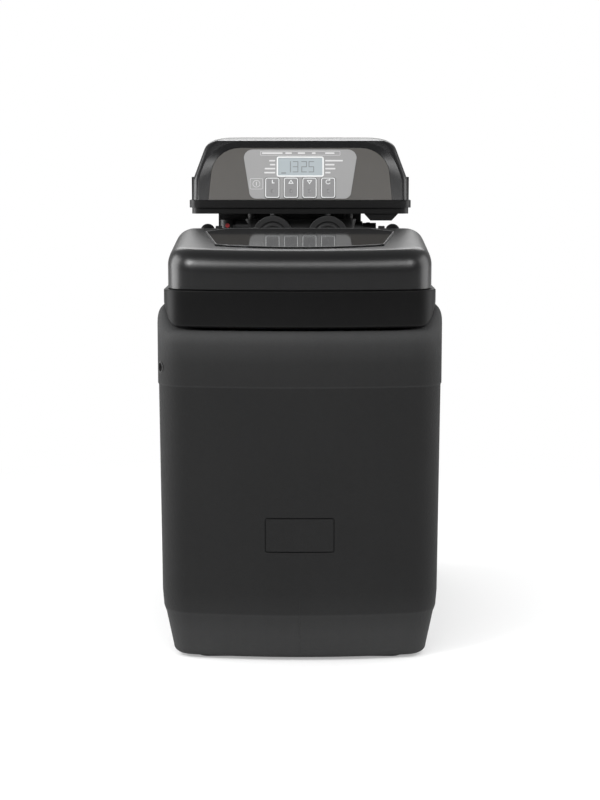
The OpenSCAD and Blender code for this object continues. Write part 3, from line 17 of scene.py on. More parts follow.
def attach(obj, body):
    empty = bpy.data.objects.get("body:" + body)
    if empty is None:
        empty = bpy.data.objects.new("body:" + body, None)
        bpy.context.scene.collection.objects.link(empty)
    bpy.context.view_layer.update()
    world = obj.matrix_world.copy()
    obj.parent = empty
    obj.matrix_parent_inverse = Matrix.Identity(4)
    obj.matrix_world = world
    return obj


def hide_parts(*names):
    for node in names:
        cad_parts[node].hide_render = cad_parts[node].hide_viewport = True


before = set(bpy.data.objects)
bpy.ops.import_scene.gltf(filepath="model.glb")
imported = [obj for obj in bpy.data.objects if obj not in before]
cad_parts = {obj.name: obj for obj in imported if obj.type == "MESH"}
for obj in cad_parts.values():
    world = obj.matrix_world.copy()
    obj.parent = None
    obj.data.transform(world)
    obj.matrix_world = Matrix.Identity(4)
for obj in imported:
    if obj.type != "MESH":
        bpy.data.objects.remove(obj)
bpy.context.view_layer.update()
LOG = logging.getLogger("softener")

Point2 = tuple[float, float]
Point3 = tuple[float, float, float]
Colour = tuple[float, float, float]

ACROSS = Matrix.Rotation(math.pi / 2, 4, "Z") @ Matrix.Rotation(math.pi / 2, 4, "X")

CORNER_STEPS = 12
BOW_STEPS = 32
EDGE_STEPS = 8


def arc(centre: Point2, radius: float, start: float, stop: float, steps: int = CORNER_STEPS) -> list[Point2]:
    """Points along an arc.

    Args:
        centre: middle of the arc.
        radius: radius of the arc.
        start: first angle in degrees.
        stop: last angle in degrees.
        steps: number of stretches between the points.

    Returns:
        The points from the first angle to the last.
    """
    turns = (math.radians(start + (stop - start) * i / steps) for i in range(steps + 1))
    return [(centre[0] + radius * math.cos(a), centre[1] + radius * math.sin(a)) for a in turns]


def rounded_rect(low: Point2, high: Point2, radius: float, steps: int = CORNER_STEPS) -> list[Point2]:
    """Outline of a rectangle with round corners.

    Args:
        low: lower left corner.
        high: upper right corner.
        radius: radius of the corners.
        steps: stretches of each corner.

    Returns:
        The outline's points, counter-clockwise.
    """
    return (
        arc((high[0] - radius, low[1] + radius), radius, -90, 0, steps)
        + arc((high[0] - radius, high[1] - radius), radius, 0, 90, steps)
        + arc((low[0] + radius, high[1] - radius), radius, 90, 180, steps)
        + arc((low[0] + radius, low[1] + radius), radius, 180, 270, steps)
    )


def level(outline: Iterable[Point2], z: float) -> list[Point3]:
    """The outline as a ring at one height."""
    return [(x, y, z) for x, y in outline]


def mirrored(outline: Sequence[Point2]) -> list[Point2]:
    """The outline mirrored left to right, still counter-clockwise."""
    return [(-x, y) for x, y in reversed(outline)]


@dataclass(frozen=True)
class BowedPlan:
    """Outline with a bowed front, flat sides and a flat rear.

    The front corners are tangent to the bow and to the sides.
    """

    half: float
    front: float
    rear: float
    corner: float
    rear_corner: float
    bow: float
    least_corner: float = 0.016
    least_rear_corner: float = 0.016

    def points(
        self, inset: float = 0.0, relief: float = 0.0, rear_inset: float | None = None
    ) -> list[Point2]:
        """Outline drawn in by a distance.

        Args:
            inset: distance that the outline is drawn in by.
            relief: how much less it is drawn in at the front.
            rear_inset: distance that the rear is drawn in by, or None for the same.

        Returns:
            The outline's points, counter-clockwise.
        """
        half, bow = self.half - inset, self.bow - inset
        front, rear = self.front + inset - relief, self.rear - (inset if rear_inset is None else rear_inset)
        corner = max(self.corner - inset, self.least_corner)
        rear_corner = max(self.rear_corner - inset, self.least_rear_corner)
        reach = half - corner
        corner_y = front + bow - math.sqrt((bow - corner) ** 2 - reach**2)
        sweep = math.asin(reach / (bow - corner))
        turns = [sweep * (2 * i / BOW_STEPS - 1) for i in range(1, BOW_STEPS)]
        lean = math.degrees(sweep)
        return (
            [(bow * math.sin(t), front + bow - bow * math.cos(t)) for t in turns]
            + arc((reach, corner_y), corner, lean - 90, 0)
            + arc((half - rear_corner, rear - rear_corner), rear_corner, 0, 90)
            + arc((rear_corner - half, rear - rear_corner), rear_corner, 90, 180)
            + arc((-reach, corner_y), corner, 180, 270 - lean)
        )


class Piece:
    """A new mesh on the bench, shaped by edit-mode steps, finished by modifiers and then dressed."""

    def __init__(self, obj: bpy.types.Object, name: str) -> None:
        """Takes the mesh object and gives it its name."""
        self.obj = obj
        obj.name = name
        obj.data.name = name

    @staticmethod
    def clear_bench() -> None:
        """Leaves edit mode and deselects everything."""
        if bpy.context.object and bpy.context.object.mode != "OBJECT":
            bpy.ops.object.mode_set(mode="OBJECT")
        bpy.ops.object.select_all(action="DESELECT")

    @classmethod
    def from_rings(cls, name: str, rings: Sequence[Sequence[Point3]]) -> "Piece":
        """Draws a ring and extrudes it from one place to the next.

        Args:
            name: the piece's name.
            rings: rings with the same count of points, in order.

        Returns:
            The shell, with both its ends capped.
        """
        cls.clear_bench()
        bpy.ops.mesh.primitive_circle_add(vertices=len(rings[0]), radius=0.1)
        piece = cls(bpy.context.object, name)
        bpy.ops.object.mode_set(mode="EDIT")
        mesh = bmesh.from_edit_mesh(piece.obj.data)
        place = mesh.verts.layers.int.new("place")
        mesh.verts.ensure_lookup_table()
        for i, point in enumerate(rings[0]):
            mesh.verts[i][place] = i
            mesh.verts[i].co = point
        for ring in rings[1:]:
            bpy.ops.mesh.extrude_edges_move()
            mesh = bmesh.from_edit_mesh(piece.obj.data)
            place = mesh.verts.layers.int["place"]
            for vert in mesh.verts:
                if vert.select:
                    vert.co = ring[vert[place]]
        bpy.ops.mesh.edge_face_add()
        piece._select_first(len(rings[0]))
        bpy.ops.mesh.edge_face_add()
        return piece._face_out()

    def _select_first(self, count: int) -> None:
        """Selects the first ring's points and edges alone."""
        bpy.ops.mesh.select_all(action="DESELECT")
        mesh = bmesh.from_edit_mesh(self.obj.data)
        mesh.verts.ensure_lookup_table()
        for i in range(count):
            mesh.verts[i].select = True
        mesh.select_flush(True)
        bmesh.update_edit_mesh(self.obj.data)

    def _face_out(self) -> "Piece":
        """Turns all faces outwards and leaves edit mode."""
        bpy.ops.mesh.select_all(action="SELECT")
        bpy.ops.mesh.normals_make_consistent(inside=False)
        bpy.ops.object.mode_set(mode="OBJECT")
        return self

    @classmethod
    def plate(cls, name: str, outline: Sequence[Point2], base: float, top: float) -> "Piece":
        """Extrudes a flat outline along +Z.

        Args:
            name: the piece's name.
            outline: points of the outline.
            base: height of the lower face.
            top: height of the upper face.

        Returns:
            The plate.
        """
        cls.clear_bench()
        bpy.ops.mesh.primitive_circle_add(vertices=len(outline), radius=0.1, fill_type="NGON")
        piece = cls(bpy.context.object, name)
        for vert, point in zip(piece.obj.data.vertices, outline):
            vert.co = (point[0], point[1], base)
        bpy.ops.object.mode_set(mode="EDIT")
        bpy.ops.mesh.select_all(action="SELECT")
        bpy.ops.mesh.extrude_region_move(TRANSFORM_OT_translate={"value": (0, 0, top - base)})
        return piece._face_out()

    @classmethod
    def outline_strip(
        cls, name: str, outline: Sequence[Point2], width: float, base: float, top: float
    ) -> "Piece":
        """A thin raised line along the inside of a closed outline.

        Args:
            name: the piece's name.
            outline: points of the outline.
            width: width of the line.
            base: height of its lower face.
            top: height of its upper face.

        Returns:
            The line.
        """
        cls.clear_bench()
        bpy.ops.mesh.primitive_circle_add(vertices=len(outline), radius=0.1, fill_type="NGON")
        piece = cls(bpy.context.object, name)
        for vert, point in zip(piece.obj.data.vertices, outline):
            vert.co = (point[0], point[1], base)
        bpy.ops.object.mode_set(mode="EDIT")
        bpy.ops.mesh.select_all(action="SELECT")
        bpy.ops.mesh.inset(thickness=width, use_even_offset=True)
        bpy.ops.mesh.delete(type="FACE")
        bpy.ops.mesh.select_all(action="SELECT")
        bpy.ops.mesh.extrude_region_move(TRANSFORM_OT_translate={"value": (0, 0, top - base)})
        return piece._face_out()

    @classmethod
    def from_node(cls, node: str, name: str) -> "Piece":
        """A merged copy of a CAD node, with its flat faces made whole.

        Args:
            node: name of the CAD node.
            name: the piece's name.

        Returns:
            The copy, which doesn't ride on anything yet.
        """
        cls.clear_bench()
        obj = bpy.data.objects.new(name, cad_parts[node].data.copy())
        bpy.context.scene.collection.objects.link(obj)
        piece = cls(obj, name)
        piece.pick()
        bpy.ops.object.mode_set(mode="EDIT")
        bpy.ops.mesh.select_all(action="SELECT")
        bpy.ops.mesh.remove_doubles(threshold=1e-6)
        bpy.ops.mesh.dissolve_limited(angle_limit=math.radians(0.4))
        bpy.ops.object.mode_set(mode="OBJECT")
        return piece

    def pick(self) -> None:
        """Selects this piece alone and makes it the active one."""
        self.clear_bench()
        self.obj.select_set(True)
        bpy.context.view_layer.objects.active = self.obj

    def bevel(self, width: float, segments: int = 3, angle: float = 30) -> "Piece":
        """Rounds every edge that is sharper than an angle.

        Args:
            width: width of the rounding.
            segments: faces across the rounding.
            angle: least angle of an edge, in degrees.

        Returns:
            The piece.
        """
        self.pick()
        rounding = self.obj.modifiers.new("rounding", "BEVEL")
        rounding.width = width
        rounding.segments = segments
        rounding.limit_method = "ANGLE"
        rounding.angle_limit = math.radians(angle)
        bpy.ops.object.modifier_apply(modifier=rounding.name)
        return self

    def cut(self, cutter: "Piece") -> "Piece":
        """Cuts another piece out of this one and removes the other.

        Args:
            cutter: the piece that is cut out.

        Returns:
            The piece.
        """
        self.pick()
        boolean = self.obj.modifiers.new("cut", "BOOLEAN")
        boolean.operation = "DIFFERENCE"
        boolean.solver = "EXACT"
        boolean.object = cutter.obj
        bpy.ops.object.modifier_apply(modifier=boolean.name)
        bpy.data.objects.remove(cutter.obj)
        return self

    def join(self, *others: "Piece") -> "Piece":
        """Takes other pieces into this one's mesh."""
        self.pick()
        for other in others:
            other.obj.select_set(True)
        bpy.ops.object.join()
        return self

    def place(self, matrix: Matrix) -> "Piece":
        """Puts the mesh in its place and leaves the object at the origin.

        Args:
            matrix: where the mesh goes.

        Returns:
            The piece.
        """
        self.pick()
        self.obj.matrix_world = matrix
        bpy.ops.object.transform_apply(location=True, rotation=True, scale=True)
        return self

    def smooth(self, angle: float = 35) -> "Piece":
        """Shades the piece smooth, apart from edges sharper than an angle in degrees."""
        self.pick()
        bpy.ops.object.shade_smooth_by_angle(angle=math.radians(angle))
        return self

    def soften(self, angle: float = 40) -> "Piece":
        """Shades the roundings smooth and keeps the large faces flat."""
        self.smooth(angle)
        weights = self.obj.modifiers.new("weights", "WEIGHTED_NORMAL")
        weights.keep_sharp = True
        bpy.ops.object.modifier_apply(modifier=weights.name)
        return self

    def dress(self, finish: "Finish", body: str, *nodes: str) -> bpy.types.Object:
        """Gives the piece its finish and its body.

        Args:
            finish: the finish of its surface.
            body: the CAD body that it rides on.
            nodes: CAD nodes that it stands for.

        Returns:
            The finished object.
        """
        self.obj.data.materials.clear()
        self.obj.data.materials.append(finish.material())
        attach(self.obj, body)
        if nodes:
            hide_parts(*nodes)
        LOG.info("%s rides on %s", self.obj.name, body)
        return self.obj


class Surface(Enum):
    """Kinds of procedural surface."""

    MOULDED = "moulded_skin"
    BRUSHED = "brushed_lines"
    BEADED = "bead_bed"
    WOUND = "wound_fibre"


class SurfaceGroup:
    """A shader node group with one surface effect, built once and placed in many materials."""

    INPUTS: ClassVar[tuple[tuple[str, str], ...]] = (
        ("Vector", "NodeSocketVector"),
        ("Colour", "NodeSocketColor"),
        ("Mottle", "NodeSocketFloat"),
        ("Roughness", "NodeSocketFloat"),
        ("Spread", "NodeSocketFloat"),
        ("Grain", "NodeSocketFloat"),
    )
    OUTPUTS: ClassVar[tuple[tuple[str, str], ...]] = (
        ("Colour", "NodeSocketColor"),
        ("Roughness", "NodeSocketFloat"),
        ("Height", "NodeSocketFloat"),
    )
    _built: ClassVar[dict[Surface, bpy.types.NodeTree]] = {}

    def __init__(self, surface: Surface) -> None:
        """Makes the empty group with its sockets."""
        self.tree = bpy.data.node_groups.new(surface.value, "ShaderNodeTree")
        for name, kind in self.INPUTS:
            self.tree.interface.new_socket(name, in_out="INPUT", socket_type=kind)
        for name, kind in self.OUTPUTS:
            self.tree.interface.new_socket(name, in_out="OUTPUT", socket_type=kind)
        self.start = self.tree.nodes.new("NodeGroupInput")
        self.end = self.tree.nodes.new("NodeGroupOutput")

    @classmethod
    def get(cls, surface: Surface) -> bpy.types.NodeTree:
        """The group of a surface, built on first use."""
        if surface not in cls._built:
            group = cls(surface)
            steps = {
                Surface.MOULDED: group._moulded,
                Surface.BRUSHED: group._brushed,
                Surface.BEADED: group._beaded,
                Surface.WOUND: group._wound,
            }
            steps[surface]()
            cls._built[surface] = group.tree
        return cls._built[surface]

    def _link(self, source: bpy.types.NodeSocket, target: bpy.types.NodeSocket) -> None:
        """Links two sockets."""
        self.tree.links.new(source, target)

    def _math(self, operation: str, first: object, second: object = 0.0) -> bpy.types.NodeSocket:
        """A math node.

        Args:
            operation: name of the operation.
            first: a socket or a number.
            second: a socket or a number.

        Returns:
            The node's result.
        """
        node = self.tree.nodes.new("ShaderNodeMath")
        node.operation = operation
        for slot, value in zip(node.inputs, (first, second)):
            if isinstance(value, bpy.types.NodeSocket):
                self._link(value, slot)
            else:
                slot.default_value = value
        return node.outputs[0]

    def _stretched(self, scale: Point3) -> bpy.types.NodeSocket:
        """The surface's place, stretched along the axes."""
        node = self.tree.nodes.new("ShaderNodeMapping")
        node.inputs["Scale"].default_value = scale
        self._link(self.start.outputs["Vector"], node.inputs["Vector"])
        return node.outputs[0]

    def _noise(
        self, scale: object, detail: float, vector: bpy.types.NodeSocket | None = None
    ) -> bpy.types.NodeSocket:
        """A noise texture.

        Args:
            scale: a socket or a number of features per metre.
            detail: octaves of finer noise.
            vector: place of the surface, or None for the group's own.

        Returns:
            The noise from 0 to 1.
        """
        node = self.tree.nodes.new("ShaderNodeTexNoise")
        node.inputs["Detail"].default_value = detail
        if isinstance(scale, bpy.types.NodeSocket):
            self._link(scale, node.inputs["Scale"])
        else:
            node.inputs["Scale"].default_value = scale
        self._link(vector or self.start.outputs["Vector"], node.inputs["Vector"])
        return node.outputs["Fac"]

    def _finish(
        self, shade: bpy.types.NodeSocket, gloss: bpy.types.NodeSocket, height: bpy.types.NodeSocket
    ) -> None:
        """Ends the group.

        Args:
            shade: lightness of the colour about 0.5.
            gloss: roughness about 0.5.
            height: relief of the surface.
        """
        off_middle = self._math("SUBTRACT", shade, 0.5)
        swing = self._math("MULTIPLY", off_middle, self.start.outputs["Mottle"])
        tint = self.tree.nodes.new("ShaderNodeHueSaturation")
        self._link(self._math("ADD", swing, 1.0), tint.inputs["Value"])
        self._link(self.start.outputs["Colour"], tint.inputs["Color"])
        self._link(tint.outputs[0], self.end.inputs["Colour"])
        off_gloss = self._math("SUBTRACT", gloss, 0.5)
        spread = self._math("MULTIPLY", off_gloss, self.start.outputs["Spread"])
        self._link(self._math("ADD", spread, self.start.outputs["Roughness"]), self.end.inputs["Roughness"])
        self._link(height, self.end.inputs["Height"])

    def _moulded(self) -> None:
        """Moulded plastic: soft grain, broad mottling and faint upright flow lines."""
        grain = self.start.outputs["Grain"]
        pebble = self.tree.nodes.new("ShaderNodeTexVoronoi")
        pebble.feature = "SMOOTH_F1"
        self._link(self.start.outputs["Vector"], pebble.inputs["Vector"])
        self._link(grain, pebble.inputs["Scale"])
        fine = self._noise(grain, 3)
        broad = self._noise(11, 3)
        flow = self._noise(130, 2, self._stretched((1, 1, 0.03)))
        shade = self._math("ADD", self._math("MULTIPLY", broad, 0.6), self._math("MULTIPLY", flow, 0.4))
        gloss = self._math("ADD", self._math("MULTIPLY", fine, 0.5), self._math("MULTIPLY", flow, 0.5))
        pebbled = self._math("MULTIPLY", pebble.outputs[0], 0.4)
        height = self._math("ADD", self._math("MULTIPLY", fine, 0.6), pebbled)
        self._finish(shade, gloss, height)

    def _brushed(self) -> None:
        """Worked metal: fine lines along Y with broad clouding."""
        lines = self._noise(self.start.outputs["Grain"], 4, self._stretched((1, 0.04, 1)))
        cloud = self._noise(45, 3)
        self._finish(cloud, lines, lines)

    def _beaded(self) -> None:
        """A bed of small round beads of uneven shade."""
        beads = self.tree.nodes.new("ShaderNodeTexVoronoi")
        self._link(self.start.outputs["Vector"], beads.inputs["Vector"])
        self._link(self.start.outputs["Grain"], beads.inputs["Scale"])
        tone = self.tree.nodes.new("ShaderNodeSeparateColor")
        self._link(beads.outputs["Color"], tone.inputs[0])
        dome = self._math("SUBTRACT", 1.0, beads.outputs["Distance"])
        self._finish(tone.outputs[0], tone.outputs[1], dome)

    def _wound(self) -> None:
        """Wound fibre under a gel coat: two crossing helices."""
        fibres = []
        for lean in ((40.0, 40.0, 25.0), (40.0, -40.0, -25.0)):
            wave = self.tree.nodes.new("ShaderNodeTexWave")
            wave.inputs["Scale"].default_value = 1.0
            wave.inputs["Distortion"].default_value = 1.5
            self._link(self._stretched(lean), wave.inputs["Vector"])
            fibres.append(wave.outputs["Fac"])
        cross = self._math("MULTIPLY", fibres[0], fibres[1])
        fine = self._noise(self.start.outputs["Grain"], 2)
        self._finish(cross, fine, cross)


@dataclass(frozen=True)
class Finish:
    """A finish: its record slot, colour and surface.

    Attributes:
        slot: material slot of the record.
        colour: linear base colour.
        roughness: middle of its roughness.
        surface: kind of procedural surface.
        metallic: 1 for bare metal.
        grain: features of the grain per metre.
        relief: height of the grain.
        mottle: how far the colour's lightness swings.
        spread: how far the roughness swings.
        coat: weight of a clear coat.
        specular: level of the plain reflection.
        painted_light_bands: heights and how many times lighter the colour is painted there, as painted light
            and painted highlights.
    """

    slot: str
    colour: Colour
    roughness: float
    surface: Surface = Surface.MOULDED
    metallic: float = 0.0
    grain: float = 900.0
    relief: float = 0.00002
    mottle: float = 0.25
    spread: float = 0.1
    coat: float = 0.0
    specular: float = 0.5
    painted_light_bands: tuple[Point2, ...] = ()
    _made: ClassVar[dict["Finish", bpy.types.Material]] = {}

    def material(self) -> bpy.types.Material:
        """The finish's material, made on first use."""
        if self not in self._made:
            self._made[self] = self._make()
        return self._made[self]

    def _make(self) -> bpy.types.Material:
        """Builds the material's nodes around the surface group."""
        material = bpy.data.materials.new(f"{self.slot}_finish")
        material.use_nodes = True
        nodes, links = material.node_tree.nodes, material.node_tree.links
        shader = nodes["Principled BSDF"]
        shader.inputs["Metallic"].default_value = self.metallic
        shader.inputs["Coat Weight"].default_value = self.coat
        shader.inputs["Coat Roughness"].default_value = 0.05
        shader.inputs["Specular IOR Level"].default_value = self.specular
        place = nodes.new("ShaderNodeTexCoord")
        effect = nodes.new("ShaderNodeGroup")
        effect.node_tree = SurfaceGroup.get(self.surface)
        effect.inputs["Colour"].default_value = (*self.colour, 1.0)
        effect.inputs["Mottle"].default_value = self.mottle
        effect.inputs["Roughness"].default_value = self.roughness
        effect.inputs["Spread"].default_value = self.spread
        effect.inputs["Grain"].default_value = self.grain
        bump = nodes.new("ShaderNodeBump")
        bump.inputs["Distance"].default_value = self.relief
        # Painted light: the colour is lightened by height.
        if self.painted_light_bands:
            self._paint_light_by_height(material.node_tree, place.outputs["Object"], effect.inputs["Colour"])
        links.new(place.outputs["Object"], effect.inputs["Vector"])
        links.new(effect.outputs["Colour"], shader.inputs["Base Color"])
        links.new(effect.outputs["Roughness"], shader.inputs["Roughness"])
        links.new(effect.outputs["Height"], bump.inputs["Height"])
        links.new(bump.outputs["Normal"], shader.inputs["Normal"])
        return material

    def _paint_light_by_height(
        self, tree: bpy.types.NodeTree, place: bpy.types.NodeSocket, colour: bpy.types.NodeSocket
    ) -> None:
        """Paints light into the colour by height, as painted light and painted highlights.

        Args:
            tree: the material's nodes.
            place: the surface's place.
            colour: the socket that takes the colour.
        """
        low, high = self.painted_light_bands[0][0], self.painted_light_bands[-1][0]
        most = max(times for _, times in self.painted_light_bands)
        axes = tree.nodes.new("ShaderNodeSeparateXYZ")
        span = tree.nodes.new("ShaderNodeMapRange")
        span.inputs["From Min"].default_value = low
        span.inputs["From Max"].default_value = high
        ramp = tree.nodes.new("ShaderNodeValToRGB")
        stops = ramp.color_ramp.elements
        while len(stops) < len(self.painted_light_bands):
            stops.new(1.0)
        for stop, (height, times) in zip(stops, self.painted_light_bands):
            stop.position = (height - low) / (high - low)
            stop.color = (times / most, times / most, times / most, 1.0)
        tint = tree.nodes.new("ShaderNodeVectorMath")
        tint.operation = "MULTIPLY"
        tint.inputs[1].default_value = [part * most for part in self.colour]
        tree.links.new(place, axes.inputs[0])
        tree.links.new(axes.outputs["Z"], span.inputs["Value"])
        tree.links.new(span.outputs["Result"], ramp.inputs["Fac"])
        tree.links.new(ramp.outputs["Color"], tint.inputs[0])
        tree.links.new(tint.outputs["Vector"], colour)


# Painted light on the tank, lightening its colour by height: a lighter foot and skirt for light from the
# floor, thin painted highlights along the skirt line and the belt, and a painted highlight over the shoulder.
TANK_PAINTED_LIGHT = (
    (0.0, 3.0), (0.03, 2.8), (0.05, 2.2), (0.0535, 2.3), (0.055, 1.5), (0.08, 1.1), (0.13, 1.0),
    (0.3085, 1.0), (0.3095, 2.2), (0.3105, 1.25), (0.335, 1.35), (0.355, 2.2), (0.37, 3.6),
)
TANK_SKIN = Finish(
    "charcoal_tank",
    (0.0092, 0.0093, 0.0094),
    0.62,
    grain=520,
    relief=0.0005,
    mottle=0.35,
    specular=0.16,
    painted_light_bands=TANK_PAINTED_LIGHT,
)
TRIM_SKIN = Finish("black_trim", (0.0026, 0.0026, 0.0027), 0.42, grain=1300, relief=0.00002, specular=0.13)
LID_SKIN = Finish("black_lid", (0.0045, 0.0045, 0.0048), 0.3, grain=1300, relief=0.00002)
PLATE_GLOSS = Finish(
    "gloss_plate", (0.012, 0.012, 0.0125), 0.06, grain=300, relief=0.000002, spread=0.03, specular=0.3
)
# Pale grey for the strip along the dress plate's edge: a painted highlight on its rounded edge.
PLATE_EDGE_HIGHLIGHT = Finish("gloss_plate", (0.2, 0.2, 0.2), 0.3, grain=2000, relief=0.000002)
HOOD_GLOSS = Finish("gloss_hood", (0.006, 0.006, 0.0065), 0.24, grain=900, relief=0.000006, spread=0.06)
TRAY_SKIN = Finish("black_tray", (0.003, 0.003, 0.0032), 0.4, grain=1200, specular=0.3)
VALVE_SKIN = Finish("black_valve", (0.01, 0.01, 0.0105), 0.45, grain=1500, relief=0.00004)
FASCIA_SKIN = Finish("fascia_grey", (0.05, 0.046, 0.041), 0.38, grain=2200, relief=0.00001)
OVERLAY_FILM = Finish("overlay_silver", (0.225, 0.225, 0.225), 0.42, grain=3000, relief=0.000004, mottle=0.08)
BUTTON_FILM = Finish("button_grey", (0.17, 0.17, 0.172), 0.4, grain=3000, relief=0.000004, mottle=0.1)
PRINT_WHITE = Finish("overlay_silver", (0.62, 0.63, 0.63), 0.5, grain=3000, relief=0.000002, mottle=0.05)
PRINT_PALE = Finish("overlay_silver", (0.5, 0.5, 0.5), 0.5, grain=3000, relief=0.000002, mottle=0.05)
SCREEN_GLASS = Finish("display_window", (0.31, 0.345, 0.36), 0.16, grain=1800, relief=0.000002, mottle=0.1)
SCREEN_INK = Finish("display_window", (0.14, 0.15, 0.16), 0.3, grain=1800, relief=0.000002, mottle=0.1)
RUBBER = Finish("black_rubber", (0.012, 0.012, 0.012), 0.7, grain=1600, relief=0.00005)
STEEL = Finish("steel", (0.6, 0.6, 0.61), 0.32, Surface.BRUSHED, 1.0, 2600, 0.00001)
BRASS = Finish("brass", (0.68, 0.47, 0.17), 0.28, Surface.BRUSHED, 1.0, 2600, 0.00001)
VESSEL_COAT = Finish(
    "vessel_shell", (0.04, 0.11, 0.24), 0.3, Surface.WOUND, grain=500, relief=0.0002, coat=0.4
)
RESIN_BED = Finish(
    "resin_beads", (0.42, 0.17, 0.04), 0.35, Surface.BEADED, grain=1200, relief=0.0004, mottle=0.9
)
WHITE_PLASTIC = Finish("white_plastic", (0.7, 0.7, 0.67), 0.42, mottle=0.08)
BLUE_PLASTIC = Finish("blue_plastic", (0.05, 0.12, 0.24), 0.42)
TUBE_PLASTIC = Finish("tube_plastic", (0.68, 0.68, 0.65), 0.25, mottle=0.1)
RED_PLASTIC = Finish("red_plastic", (0.3, 0.018, 0.022), 0.4)
DISC_CERAMIC = Finish("disc_ceramic", (0.68, 0.68, 0.65), 0.15, grain=2600, mottle=0.06)
MOTOR_PAINT = Finish("motor_can", (0.27, 0.28, 0.29), 0.35, Surface.BRUSHED, 0.6, 1800, 0.00001)
GEAR_PLASTIC = Finish("gear_plastic", (0.72, 0.7, 0.63), 0.45, mottle=0.08)
BOARD_MASK = Finish("board_green", (0.02, 0.13, 0.045), 0.3, grain=1400, relief=0.00003, mottle=0.5)


